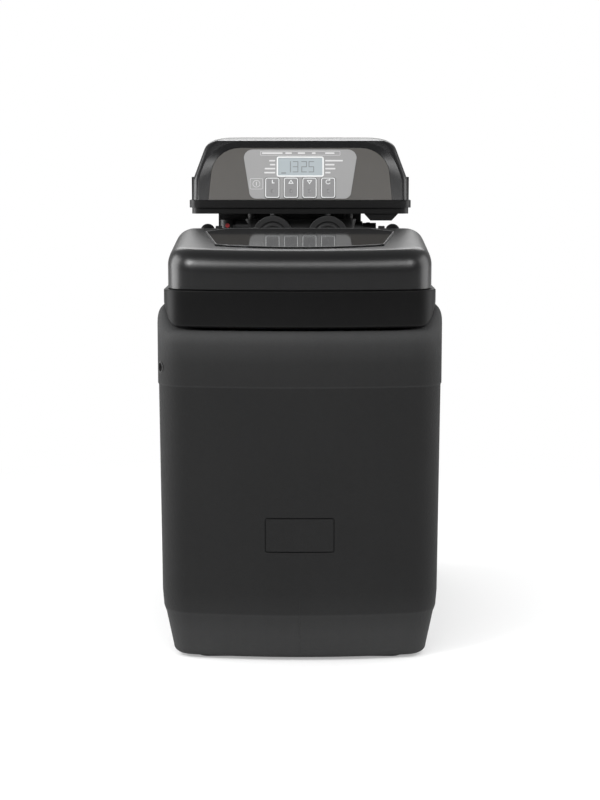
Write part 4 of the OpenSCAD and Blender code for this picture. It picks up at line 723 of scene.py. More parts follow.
@dataclass
class SaltTank:
    """The moulded cabinet: wall, belt, skirt, feet, label field and overflow port."""

    plan: BowedPlan = BowedPlan(0.1585, -0.25, 0.25, 0.042, 0.036, 0.65)
    height: float = 0.396
    wall: float = 0.004
    foot_height: float = 0.003
    base_edge: float = 0.008
    skirt_height: float = 0.052
    skirt_taper: float = 0.0155
    skirt_relief: float = 0.0075
    skirt_fade: float = 0.022
    skirt_step: float = 0.003
    draft: float = 0.002
    belt_height: float = 0.308
    belt_step: float = 0.001
    shoulder_height: float = 0.018
    shoulder_width: float = 0.009
    rim_width: float = 0.011
    apron_drop: float = 0.026
    dip_front: float = -0.225
    dip_rear: float = -0.2
    dip_lead: float = 0.003
    label_half: Point2 = (0.0385, 0.0195)
    label_height: float = 0.145
    label_line: float = 0.0012
    label_depth: float = 0.0004
    port_height: float = 0.328
    port_radius: float = 0.007
    port_turn: float = 26.0

    def dip(self, y: float) -> float:
        """How far the rim has dropped at a depth, from 1 at the apron to 0 at the sides."""
        t = max(0.0, min(1.0, (self.dip_rear - y) / (self.dip_rear - self.dip_front)))
        return t * t * (3 - 2 * t)

    def top_ring(self, inset: float, drop: float) -> list[Point3]:
        """A ring of the rim.

        Args:
            inset: distance that it is drawn in by.
            drop: distance below the rim's top.

        Returns:
            The ring, lower at the front.
        """
        rim = self.height - drop
        lead = self.dip_lead
        return [(x, y, rim - self.apron_drop * self.dip(y - lead)) for x, y in self.plan.points(inset)]

    def _skirt_steps(self) -> tuple[Point3, ...]:
        """Inset, share of the front relief and height of the rings from the skirt's line up to the wall."""
        wall = self.belt_step + self.draft
        skirt = wall + self.skirt_step
        return (
            (skirt + 0.0012, 0.43, self.skirt_height - 0.003),
            (skirt, 0.4, self.skirt_height),
            (skirt - 0.0014, 0.36, self.skirt_height + 0.004),
            (wall, 0.2, self.skirt_height + self.skirt_fade),
        )

    def _outer_rings(self) -> list[list[Point3]]:
        """Rings up the outside, from the base to the rim."""
        rings = []
        for i in range(EDGE_STEPS + 1):
            turn = math.pi / 2 * i / EDGE_STEPS
            inset = self.skirt_taper + self.base_edge * (1 - math.sin(turn))
            rings.append(
                level(
                    self.plan.points(inset, self.skirt_relief),
                    self.foot_height + self.base_edge * (1 - math.cos(turn)),
                )
            )
        upper = self._skirt_steps() + (
            (self.belt_step, 0.0, self.belt_height - 0.0008),
            (self.belt_step * 0.8, 0.0, self.belt_height),
            (self.belt_step * 0.2, 0.0, self.belt_height + 0.0008),
            (0.0, 0.0, self.belt_height + 0.0018),
        )
        rings += [level(self.plan.points(inset, self.skirt_relief * share), z) for inset, share, z in upper]
        for i in range(EDGE_STEPS + 1):
            turn = math.pi / 2 * i / EDGE_STEPS
            inset = self.shoulder_width * (1 - math.cos(turn))
            rings.append(self.top_ring(inset, self.shoulder_height * (1 - math.sin(turn))))
        return rings

    def _inner_rings(self) -> list[list[Point3]]:
        """Rings down the inside, from the rim to the floor."""
        rim = self.shoulder_width + self.rim_width
        skirt = self.belt_step + self.draft + self.skirt_step + self.wall
        foot, relief = self.skirt_taper + self.wall, self.skirt_relief
        return [
            self.top_ring(rim, 0.0),
            self.top_ring(rim, 0.005),
            self.top_ring(self.wall + 0.0015, self.shoulder_height),
            level(self.plan.points(self.belt_step + self.wall), self.belt_height),
            level(self.plan.points(skirt, relief * 0.4), self.skirt_height),
            level(self.plan.points(foot, relief), self.foot_height + self.base_edge),
            level(self.plan.points(foot + self.base_edge * 0.7, relief), self.foot_height + self.wall),
        ]

    def _label_cutter(self) -> Piece:
        """A thin frame that cuts the label field's outline."""
        half_x, half_z = self.label_half
        outline = rounded_rect((-half_x, -half_z), (half_x, half_z), 0.003, 6)
        cutter = Piece.outline_strip("label_cutter", outline, self.label_line, 0.0, 0.01)
        wall_height = self.belt_height - self.skirt_height - self.skirt_fade
        drawn_in = self.belt_step + self.draft * (self.belt_height - self.label_height) / wall_height
        sag = half_x**2 / (2 * self.plan.bow)
        face_y = self.plan.front + drawn_in + sag + self.label_depth
        place = Matrix.Translation((0, face_y, self.label_height))
        return cutter.place(place @ Matrix.Rotation(math.pi / 2, 4, "X"))

    def _port_cutter(self) -> Piece:
        """A rod that cuts the overflow port through the left front corner."""
        reach = self.plan.half - self.plan.corner
        corner_y = (
            self.plan.front + self.plan.bow - math.sqrt((self.plan.bow - self.plan.corner) ** 2 - reach**2)
        )
        turn = math.radians(self.port_turn)
        out = Vector((-math.cos(turn), -math.sin(turn), 0))
        middle = Vector((-reach, corner_y, self.port_height)) + out * self.plan.corner
        rod = Piece.plate("port_cutter", arc((0, 0), self.port_radius, 0, 345, 23), -0.02, 0.02)
        return rod.place(Matrix.Translation(middle) @ out.to_track_quat("Z", "Y").to_matrix().to_4x4())

    def _feet(self) -> list[Piece]:
        """The two foot pads under the base."""
        outline = rounded_rect((0.045, -0.221), (0.115, 0.2245), 0.012)
        pads = []
        for side in (outline, mirrored(outline)):
            pads.append(Piece.plate("foot", side, 0.0, self.foot_height + 0.001).bevel(0.0012, 3))
        return pads

    def _parting_line(self) -> Piece:
        """The faint ridge that the mould's halves leave up the skirt's front."""
        half, crest, proud = 0.0005, 0.0002, 0.00025
        base = (self.skirt_taper, 1.0, self.foot_height + self.base_edge)
        rings = []
        for inset, share, z in (base, *self._skirt_steps()):
            y = self.plan.front + inset - self.skirt_relief * share
            root, top = y + 0.001, y - proud
            rings.append([(-half, root, z), (half, root, z), (crest, top, z), (-crest, top, z)])
        return Piece.from_rings("parting_line", rings)

    def build(self) -> None:
        """Builds and dresses the cabinet."""
        tank = Piece.from_rings("salt_tank", self._outer_rings() + self._inner_rings())
        tank.cut(self._label_cutter()).cut(self._port_cutter())
        tank.join(self._parting_line(), *self._feet()).smooth(32)
        tank.dress(TANK_SKIN, "cabinet", "tank", "tank_base")


@dataclass
class CollarAndLid:
    """The black collar with its apron, the hinged lid and the lid's dress plate."""

    tank: SaltTank
    collar_inset: float = 0.0075
    collar_lip: float = 0.018
    collar_edge: float = 0.004
    top_edge: float = 0.0015
    deck: float = 0.414
    deck_thickness: float = 0.005
    apron_reach: float = 0.023
    mouth_low: Point2 = (-0.125, -0.224)
    mouth_high: Point2 = (0.125, -0.01)
    mouth_corner: float = 0.02
    deck_half: float = 0.1185
    deck_rear: float = 0.21
    axis_y: float = 0.118
    neck_radius: float = 0.041
    tube_place: Point2 = (-0.091, 0.07)
    tube_radius: float = 0.00515
    hinge_y: float = 0.012
    hinge_z: float = 0.469
    knuckle_x: float = 0.113
    knuckle_radius: float = 0.009
    pin_radius: float = 0.0025
    lid_plan: BowedPlan = BowedPlan(0.1465, -0.238, 0.002, 0.036, 0.014, 0.638, 0.016, 0.008)
    lid_foot: float = 0.4144
    lid_front_top: float = 0.456
    ridge_y: float = -0.058
    ridge_rise: float = 0.0182
    rear_rise: float = 0.017
    ridge_softness: float = 0.0006
    front_fall: float = 0.33
    lid_edge: float = 0.018
    lid_rear_edge: float = 0.004
    lid_wall: float = 0.003
    side_steps: int = 24
    ear_low_x: float = 0.0956
    ear_high_x: float = 0.1036
    ear_radius: float = 0.0075
    plate_thickness: float = 0.0016
    plate_lift: float = 0.00015

    def _apron_ring(self, inset: float, lift: float) -> list[Point3]:
        """A ring of the collar's lower edge, lower at the apron."""
        foot = self.tank.height + lift
        return [(x, y, foot - self.apron_reach * self.tank.dip(y)) for x, y in self.tank.plan.points(inset)]

    def _collar(self) -> Piece:
        """The collar with its mouth, deck, holes and hinge posts."""
        plan, lip = self.tank.plan, self.collar_lip
        rings = [level(plan.points(lip), self.tank.height + 0.001), self._apron_ring(lip, 0.0)]
        for i in range(EDGE_STEPS + 1):
            turn = math.pi / 2 * i / EDGE_STEPS
            inset = self.collar_inset + self.collar_edge * (1 - math.sin(turn))
            rings.append(self._apron_ring(inset, self.collar_edge * (1 - math.cos(turn))))
        for i in range(EDGE_STEPS + 1):
            turn = math.pi / 2 * i / EDGE_STEPS
            inset = self.collar_inset + self.top_edge * (1 - math.cos(turn))
            rings.append(level(plan.points(inset), self.deck - self.top_edge * (1 - math.sin(turn))))
        collar = Piece.from_rings("collar_shell", rings)
        mouth = rounded_rect(self.mouth_low, self.mouth_high, self.mouth_corner)
        under = rounded_rect(
            (-self.deck_half, self.mouth_high[1] + self.deck_thickness),
            (self.deck_half, self.deck_rear),
            self.mouth_corner,
        )
        collar.cut(Piece.plate("mouth_cutter", mouth, 0.36, 0.45))
        collar.cut(Piece.plate("deck_cutter", under, 0.39, self.deck - self.deck_thickness))
        neck = arc((0, self.axis_y), self.neck_radius, 0, 352.5, 47)
        collar.cut(Piece.plate("neck_cutter", neck, 0.39, 0.43))
        tube = arc(self.tube_place, self.tube_radius, 0, 345, 23)
        collar.cut(Piece.plate("tube_cutter", tube, 0.39, 0.43))
        return collar.bevel(0.0008, 2, 50).join(*self._posts())

    def _pin_hole(self, radius: float) -> Piece:
        """A long rod on the hinge line that cuts the pins' holes."""
        rod = Piece.plate("pin_cutter", arc((0, 0), radius, 0, 345, 23), -0.13, 0.13)
        return rod.place(Matrix.Translation((0, self.hinge_y, self.hinge_z)) @ ACROSS)

    def _posts(self) -> list[Piece]:
        """The two hinge posts, each under a round knuckle."""
        posts = []
        for side in (-1, 1):
            low = (side * self.knuckle_x - 0.008, self.hinge_y - 0.005)
            high = (side * self.knuckle_x + 0.008, self.hinge_y + 0.009)
            post = Piece.plate("post", rounded_rect(low, high, 0.003, 4), self.deck - 0.001, self.hinge_z)
            profile = [(self.knuckle_radius * math.sin(a), self.knuckle_radius * -math.cos(a))
                       for a in (math.pi * i / 16 for i in range(1, 16))]
            rings = [[(x, y, z) for x, y in arc((0, 0), r, 0, 345, 23)] for r, z in profile]
            knuckle = Piece.from_rings("knuckle", rings)
            knuckle.place(Matrix.Translation((side * self.knuckle_x, self.hinge_y, self.hinge_z)))
            post.bevel(0.001, 2).cut(self._pin_hole(self.pin_radius + 0.00015))
            posts += [post, knuckle.cut(self._pin_hole(self.pin_radius + 0.00015))]
        return posts

    @property
    def lid_slope(self) -> float:
        """Rise of the lid's front part for each metre of depth."""
        return self.ridge_rise / (self.ridge_y - self.lid_plan.front)

    def lid_top(self, y: float) -> float:
        """Height of the lid's top at a depth, on both sides of its soft ridge."""
        front = self.lid_slope * (y - self.lid_plan.front)
        fall = (self.ridge_rise - self.rear_rise) / (self.lid_plan.rear - self.ridge_y)
        rear = self.ridge_rise - fall * (y - self.ridge_y)
        return self.lid_front_top + (front + rear) / 2 - math.hypot((front - rear) / 2, self.ridge_softness)

    def _lid_outline(self, inset: float, rear: float) -> list[Point2]:
        """The lid's outline, with points along its straight sides for the ridge."""
        plan = self.lid_plan.points(inset, 0.0, rear)
        outline = []
        for (x, y), (next_x, next_y) in zip(plan, plan[1:] + plan[:1]):
            count = self.side_steps if abs(next_y - y) > self.ridge_rise else 1
            outline += [(x + (next_x - x) * i / count, y + (next_y - y) * i / count) for i in range(count)]
        return outline

    def _lid_ring(
        self, inset: float, drop: float, rear: float, depth: float = 0.0, shrink: float = 0.0
    ) -> list[Point3]:
        """A ring of the lid.

        Args:
            inset: distance that it is drawn in by.
            drop: fall of the rounded edge, which is deeper at the front.
            rear: distance that its rear is drawn in by.
            depth: even distance below the lid's top.
            shrink: share of the way to the middle of the ridge.

        Returns:
            The ring.
        """
        ring = []
        for x, y in self._lid_outline(inset, rear):
            fall = 1 + self.front_fall * max(0.0, min(1.0, (self.lid_plan.front + 0.06 - y) / 0.05))
            y += (self.ridge_y - y) * shrink
            ring.append((x * (1 - shrink), y, self.lid_top(y) - depth - drop * fall))
        return ring

    def _lid(self) -> Piece:
        """The hollow lid with its two hinge ears."""
        edge, wall, rear = self.lid_edge, self.lid_wall, self.lid_rear_edge
        shrinks = [i / 16 for i in range(16)] + [0.99]
        rings = [self._lid_ring(edge, 0.0, wall + rear, wall, shrink) for shrink in reversed(shrinks)]
        rings += [
            self._lid_ring(wall + edge * 0.3, edge * 0.3, wall + rear * 0.3, wall),
            self._lid_ring(wall, edge, wall),
            level(self._lid_outline(wall, wall), self.lid_foot),
            level(self._lid_outline(0.0006, 0.0006), self.lid_foot),
            level(self._lid_outline(0.0, 0.0), self.lid_foot + 0.0006),
        ]
        for i in range(2 * EDGE_STEPS):
            turn = math.pi / 4 * i / EDGE_STEPS
            draw, drop = 1 - math.cos(turn), 1 - math.sin(turn)
            rings.append(self._lid_ring(edge * draw, edge * drop, rear * draw))
        rings += [self._lid_ring(edge, 0.0, rear, 0.0, shrink) for shrink in shrinks]
        return Piece.from_rings("lid_shell", rings).join(*self._ears())

    def _ears(self) -> list[Piece]:
        """The ears on the lid's rear edge that turn on the hinge pins."""
        root = self.lid_plan.rear - self.lid_edge * 0.6 - self.hinge_y
        top, low = 0.003, -0.006
        knuckle = arc((0, 0), self.ear_radius, -60, 60, 16)
        outline = [(root, low), (0.0, low), *knuckle, (0.0, top), (root, top)]
        ears = []
        for start in (self.ear_low_x, -self.ear_high_x):
            ear = Piece.plate("ear", outline, 0.0, self.ear_high_x - self.ear_low_x).bevel(0.0006, 2)
            ear.place(Matrix.Translation((start, self.hinge_y, self.hinge_z)) @ ACROSS)
            ears.append(ear.cut(self._pin_hole(self.pin_radius + 0.0001)))
        return ears

    def _plate_outline(self, inset: float) -> list[Point2]:
        """Six-sided outline of the dress plate with a bowed front, measured from the lid's front edge."""
        length = self.ridge_y - self.lid_plan.front
        front_half, bow_gap, bow_depth = 0.0943 - inset, 0.029 + inset, 0.021
        stops = [2 * i / 24 - 1 for i in range(25)]
        bow = [(front_half * t, bow_gap + bow_depth * t * t) for t in stops]
        side, side_y = 0.1105 - inset, length - 0.029
        rear, rear_y = 0.082 - inset * 0.6, length - 0.003 - inset
        return bow + [(side, side_y), (rear, rear_y), (-rear, rear_y), (-side, side_y)]

    def _plate_place(self) -> Matrix:
        """Where the dress plate lies on the lid's slope."""
        start = Matrix.Translation((0, self.lid_plan.front, self.lid_front_top + self.plate_lift))
        return start @ Matrix.Rotation(math.atan(self.lid_slope), 4, "X")

    def build(self) -> None:
        """Builds and dresses the collar, the lid and the plate, with a painted highlight along the plate's
        edge.
        """
        self._collar().smooth(35).dress(TRIM_SKIN, "cabinet", "collar")
        self._lid().smooth(35).dress(LID_SKIN, "lid", "lid")
        top = self.plate_thickness
        plate = Piece.plate("dress_plate", self._plate_outline(0.0), 0.0, top).bevel(0.0007, 3)
        plate.place(self._plate_place()).soften().dress(PLATE_GLOSS, "lid", "lid_plate")
        # A pale strip along the plate's edge: a painted highlight on the plate's rounded edge.
        edge = self._plate_outline(0.0008)
        line = Piece.outline_strip("plate_line", edge, 0.0007, top - 0.0002, top + 0.00005)
        line.place(self._plate_place()).dress(PLATE_EDGE_HIGHLIGHT, "lid")


@dataclass
class ControlHead:
    """The tray, the glossy hood and the sloping panel with its display and buttons."""

    half: float = 0.133
    foot: float = 0.5064
    height: float = 0.077
    round_height: float = 0.052
    round_width: float = 0.038
    draft: float = 0.36
    shoulder: float = 0.017
    fullness: float = 0.7
    brow: float = 0.0048
    brow_depth: float = 0.03
    brow_softness: float = 0.15
    rear_round: float = 0.03
    corner: float = 0.01
    wall: float = 0.003
    face_y: float = 0.034
    rear: float = 0.201
    tilt: float = 20.0
    arch_half: float = 0.114
    arch_length: float = 0.069
    arch_lean: float = 0.003
    arch_corner: float = 0.036
    rim_half: float = 0.1275
    rim_low: float = 0.018
    rim_top: float = 0.0764
    rim_reach: float = 0.055
    hood_steps: int = 24
    button_pitch: float = 0.023
    button_half: float = 0.009
    button_low: float = 0.003
    button_high: float = 0.0295
    button_front: float = -0.0012
    film_front: float = -0.0019
    glass_front: float = -0.0025
    print_height: float = 0.00006
    sign_s: float = 0.0238
    dish_s: float = 0.0118
    dish_half: Point2 = (0.0052, 0.0072)
    dish_depth: float = 0.0007
    screen_low: Point2 = (-0.0285, 0.0315)
    screen_high: Point2 = (0.0285, 0.0565)

    def on_face(self, depth: float = 0.0) -> Matrix:
        """The sloping face's frame: X across, Y up the slope and Z out of the face."""
        start = Matrix.Translation((0, self.face_y, self.foot))
        turn = Matrix.Rotation(math.radians(90 - self.tilt), 4, "X")
        return start @ turn @ Matrix.Translation((0, 0, depth))

    def _top_share(self, rise: float, zone: float) -> float:
        """Share of a zone that ends at the hood's top, at a height above its foot."""
        return max(0.0, min(1.0, (rise - self.height + zone) / zone))

    def _hood_draw(self, rise: float) -> float:
        """How far the hood's sides have drawn in at a height."""
        turn = self._top_share(rise, self.shoulder) ** (2 / self.fullness)
        slope = self.draft * max(0.0, rise - self.height + self.round_height)
        return slope + self.round_width * (1 - (1 - turn) ** (self.fullness / 2))

    def _hood_ring(self, inset: float, share: float, foot: bool = False) -> list[Point3]:
        """A ring of the hood.

        Args:
            inset: distance that the ring is drawn in by.
            share: 0 at the straight sides and 1 at the top.
            foot: whether the ring lies at the hood's foot.

        Returns:
            The ring.
        """
        lean = math.radians(self.tilt)
        rise = 0.0 if foot else self.height - self.round_height + (self.round_height - inset) * share
        half = self.half - inset - self._hood_draw(rise + inset * share)
        past = self._top_share(rise + inset * share, self.brow)
        back = self.brow_depth * past * past * (1 + self.brow_softness) / (past + self.brow_softness)
        slide = min(rise, self.height - self.brow) * math.tan(lean)
        front = self.face_y + slide + inset / math.cos(lean) + back
        rear = self.rear - inset - self.rear_round * share**3
        return level(rounded_rect((-half, front), (half, rear), self.corner - inset), self.foot + rise)

    def _arch(self, inset: float, foot: float) -> list[Point2]:
        """Arch-shaped outline of the panel's opening, drawn in by a distance."""
        half, top = self.arch_half - inset, self.arch_length - inset
        x, s = half - self.arch_lean - self.arch_corner, top - self.arch_corner
        return (
            [(-half, foot), (half, foot)]
            + arc((x, s), self.arch_corner, 0, 90, 24)
            + arc((-x, s), self.arch_corner, 90, 180, 24)
        )

    def _rim(self, foot: float) -> list[Point2]:
        """Outer outline of the sloping rim round the panel's opening."""
        middle, rise = self.rim_half - self.rim_reach, self.rim_top - self.rim_low
        turns = [math.pi / 2 * i / 24 for i in range(25)]
        right = [(middle + self.rim_reach * math.cos(t), self.rim_low + rise * math.sin(t)) for t in turns]
        left = [(-x, s) for x, s in reversed(right)]
        return [(-self.rim_half, foot), (self.rim_half, foot)] + right + left

    def _hood(self) -> Piece:
        """The hood with the panel's opening cut through its sloping face."""
        steps = self.hood_steps
        shares = [1 - (1 - i / steps) ** 2 for i in range(steps + 1)]
        rings = [self._hood_ring(self.wall, share) for share in reversed(shares)]
        rings += [self._hood_ring(self.wall, 0.0, True), self._hood_ring(0.0, 0.0, True)]
        rings += [self._hood_ring(0.0, share) for share in shares]
        hood = Piece.from_rings("hood_shell", rings)
        inner, rim = self._arch(0.0, -0.01), self._rim(-0.01)
        stops = ((inner, -0.03), (inner, self.glass_front - 0.0002), (rim, 0.0), (rim, 0.02))
        opening = Piece.from_rings("arch_cutter", [level(outline, depth) for outline, depth in stops])
        return hood.cut(opening.place(self.on_face()))

    def _panel_print(self, name: str, outline: Sequence[Point2], front: float, width: float = 0.0) -> Piece:
        """A print on the panel.

        Args:
            name: the piece's name.
            outline: its outline on the sloping face.
            front: depth of the surface that it is printed on.
            width: width of a line along the outline, or 0 for a filled print.

        Returns:
            The print in its place.
        """
        low, high = front - 0.0001, front + self.print_height
        if width:
            return Piece.outline_strip(name, outline, width, low, high).place(self.on_face())
        return Piece.plate(name, outline, low, high).place(self.on_face())

    def _button_x(self, index: int) -> float:
        """Middle of a button across the face."""
        return (index - 1.5) * self.button_pitch

    def _icon(self, index: int) -> list[Piece]:
        """The printed sign of a button: clock hands, an arrow up, an arrow down or a turning arrow."""
        x, s, front = self._button_x(index), self.sign_s, self.button_front
        if index == 0:
            tall = rounded_rect((x - 0.0005, s - 0.0008), (x + 0.0005, s + 0.0028), 0.0003, 3)
            wide = rounded_rect((x - 0.0005, s - 0.0018), (x + 0.0027, s - 0.0008), 0.0003, 3)
            return [self._panel_print("hand", tall, front), self._panel_print("hand", wide, front)]
        if index == 3:
            ring = arc((x, s), 0.003, 70, 340, 28) + arc((x, s), 0.0022, 340, 70, 28)
            tip = [(x + 0.0009, s + 0.0042), (x + 0.0009, s + 0.0012), (x + 0.0032, s + 0.0027)]
            return [self._panel_print("sign", ring, front), self._panel_print("tip", tip, front)]
        way = 1 if index == 1 else -1
        arrow = [(x - 0.0033, s - way * 0.0022), (x + 0.0033, s - way * 0.0022), (x, s + way * 0.003)]
        return [self._panel_print("sign", arrow[::way], front, 0.0008)]

    def _dish(self, index: int) -> Piece:
        """A flattened ball that cuts a button's shallow finger dish."""
        Piece.clear_bench()
        bpy.ops.mesh.primitive_uv_sphere_add(segments=48, ring_count=24, radius=1.0)
        ball = Piece(bpy.context.object, "dish_cutter")
        tall = self.dish_half[0] * 1.5
        size = Matrix.Diagonal((*self.dish_half, tall, 1.0))
        place = Matrix.Translation((self._button_x(index), self.dish_s, tall - self.dish_depth))
        return ball.place(self.on_face(self.button_front) @ place @ size)

    def _buttons(self) -> None:
        """The four buttons, each with a dished face, a printed frame and its sign."""
        for index, name in enumerate(("clock", "up", "down", "cycle")):
            body = f"button_{name}"
            x = self._button_x(index)
            key = Piece.from_node(body, f"{name}_key").bevel(0.0004, 3).cut(self._dish(index))
            key.soften().dress(BUTTON_FILM, body, body)
            frame_line = rounded_rect(
                (x - self.button_half + 0.0003, self.button_low + 0.0003),
                (x + self.button_half - 0.0003, self.button_high - 0.0003), 0.0028, 8,
            )
            prints = self._panel_print(f"{name}_print", frame_line, self.button_front, 0.0009)
            prints.join(*self._icon(index)).dress(PRINT_WHITE, body)

    def _segments(self, digit: str, x: float, s: float) -> list[Piece]:
        """One seven-segment digit.

        Args:
            digit: the digit.
            x: left edge on the face.
            s: lower edge on the face.

        Returns:
            Its segments.
        """
        lit = {"1": "bc", "2": "abged", "3": "abgcd", "5": "afgcd"}[digit]
        wide, tall, bar = 0.0068, 0.0145, 0.001
        half = tall / 2
        places = {
            "a": ((0.0, tall - bar), (wide, tall)),
            "b": ((wide - bar, half), (wide, tall)),
            "c": ((wide - bar, 0.0), (wide, half)),
            "d": ((0.0, 0.0), (wide, bar)),
            "e": ((0.0, 0.0), (bar, half)),
            "f": ((0.0, half), (bar, tall)),
            "g": ((0.0, half - bar / 2), (wide, half + bar / 2)),
        }
        pieces = []
        for part in lit:
            (x0, s0), (x1, s1) = places[part]
            outline = rounded_rect((x + x0, s + s0), (x + x1, s + s1), 0.0003, 3)
            pieces.append(self._panel_print("segment", outline, self.glass_front))
        return pieces

    def _screen(self) -> None:
        """The display with its printed frame and its figures."""
        glass = Piece.from_node("display", "screen_glass").bevel(0.0003, 2)
        glass.soften().dress(SCREEN_GLASS, "hood", "display")
        (left, low), (right, high) = self.screen_low, self.screen_high
        edge, sink = 0.0007, 0.0001
        frame_line = rounded_rect((left - edge, low - edge), (right + edge, high + edge), 0.0027, 8)
        line = Piece.outline_strip(
            "screen_frame", frame_line, 0.0017, self.glass_front - sink, self.film_front + sink
        )
        line.place(self.on_face()).bevel(0.00015, 2).dress(PRINT_WHITE, "hood")
        figures: list[Piece] = []
        for digit, x in (("1", -0.0185), ("3", -0.0092), ("2", 0.0014), ("5", 0.0104)):
            figures += self._segments(digit, x, 0.0368)
        mark = rounded_rect((-0.0235, 0.0352), (-0.0175, 0.0366), 0.0004, 3)
        figures.append(self._panel_print("mark", mark, self.glass_front))
        figures[0].join(*figures[1:]).dress(SCREEN_INK, "hood")

    def _notes(self) -> None:
        """Plain bars in place of the panel's words, and a small frame beside the buttons."""
        bars: list[Piece] = []
        beside, bar, round_end = 0.031, 0.0019, 0.0006
        rows = ((0.0135, 0.0065), (0.013, 0.0125), (0.0066, 0.0115), (0.0075, 0.0218))
        spans = []
        for row, (left, right) in enumerate(rows):
            s = 0.0352 + row * 0.0052
            spans += [(-beside - left, -beside, s), (beside, beside + right, s)]
        heads = ((-0.0475, -0.022), (-0.0185, -0.0105), (-0.003, 0.006), (0.0145, 0.019), (0.031, 0.0425))
        spans += [(start, stop, 0.0607) for start, stop in heads]
        for start, stop, s in spans:
            outline = rounded_rect((start, s), (stop, s + bar), round_end, 4)
            bars.append(self._panel_print("bar", outline, self.film_front))
        for low, high, radius in (
            ((-0.0622, 0.0146), (-0.0462, 0.0287), 0.002),
            ((-0.0496, 0.0587), (0.0496, 0.0643), 0.001),
        ):
            outline = rounded_rect(low, high, radius, 5)
            bars.append(self._panel_print("frame_line", outline, self.film_front, 0.0004))
        dial = arc((-0.0542, 0.0217), 0.0046, 0, 350, 35)
        bars.append(self._panel_print("dial", dial, self.film_front, 0.0005))
        pointer = rounded_rect((-0.0546, 0.0192), (-0.0538, 0.0242), 0.0003, 3)
        bars.append(self._panel_print("pointer", pointer, self.film_front))
        bars[0].join(*bars[1:]).dress(PRINT_PALE, "hood")

    def build(self) -> None:
        """Builds and dresses the head from the tray up."""
        Piece.from_node("tray", "head_tray").bevel(0.0007, 3).soften().dress(TRAY_SKIN, "cabinet", "tray")
        self._hood().bevel(0.0007, 2, 40).smooth(12).dress(HOOD_GLOSS, "hood", "hood")
        Piece.from_node("fascia", "panel").bevel(0.0004, 2).soften().dress(FASCIA_SKIN, "hood", "fascia")
        film = Piece.from_node("overlay", "panel_film").bevel(0.0002, 2)
        film.soften().dress(OVERLAY_FILM, "hood", "overlay")
        self._screen()
        self._notes()
        self._buttons()


@dataclass
class InnerWorks:
    """The valve, the vessel and the drive: CAD nodes that keep their own mesh, dressed by slot."""

    rounding: float = 0.0004
    outer: tuple[tuple[str, float, Finish], ...] = (
        ("valve_body", 0.0006, VALVE_SKIN),
        ("meter_cap", 0.0008, VALVE_SKIN),
        ("injector_cap", 0.0008, VALVE_SKIN),
        ("power_inlet", 0.0025, TRAY_SKIN),
    )
    others: tuple[Finish, ...] = (
        TANK_SKIN, TRIM_SKIN, LID_SKIN, PLATE_GLOSS, HOOD_GLOSS, TRAY_SKIN, VALVE_SKIN, FASCIA_SKIN,
        OVERLAY_FILM, BUTTON_FILM, SCREEN_GLASS, RUBBER, STEEL, BRASS, VESSEL_COAT, RESIN_BED,
        WHITE_PLASTIC, BLUE_PLASTIC, TUBE_PLASTIC, RED_PLASTIC, DISC_CERAMIC, MOTOR_PAINT, GEAR_PLASTIC,
        BOARD_MASK,
    )

    def build(self) -> None:
        """Rounds the parts of the valve that show, and dresses every CAD node."""
        for node, width, finish in self.outer:
            Piece.from_node(node, f"{node}_shape").bevel(width, 3).soften().dress(finish, "cabinet", node)
        by_slot = {finish.slot: finish for finish in self.others}
        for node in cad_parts.values():
            for index, material in enumerate(node.data.materials):
                slot = material.name.split(".")[0]
                if slot in by_slot:
                    node.data.materials[index] = by_slot[slot].material()


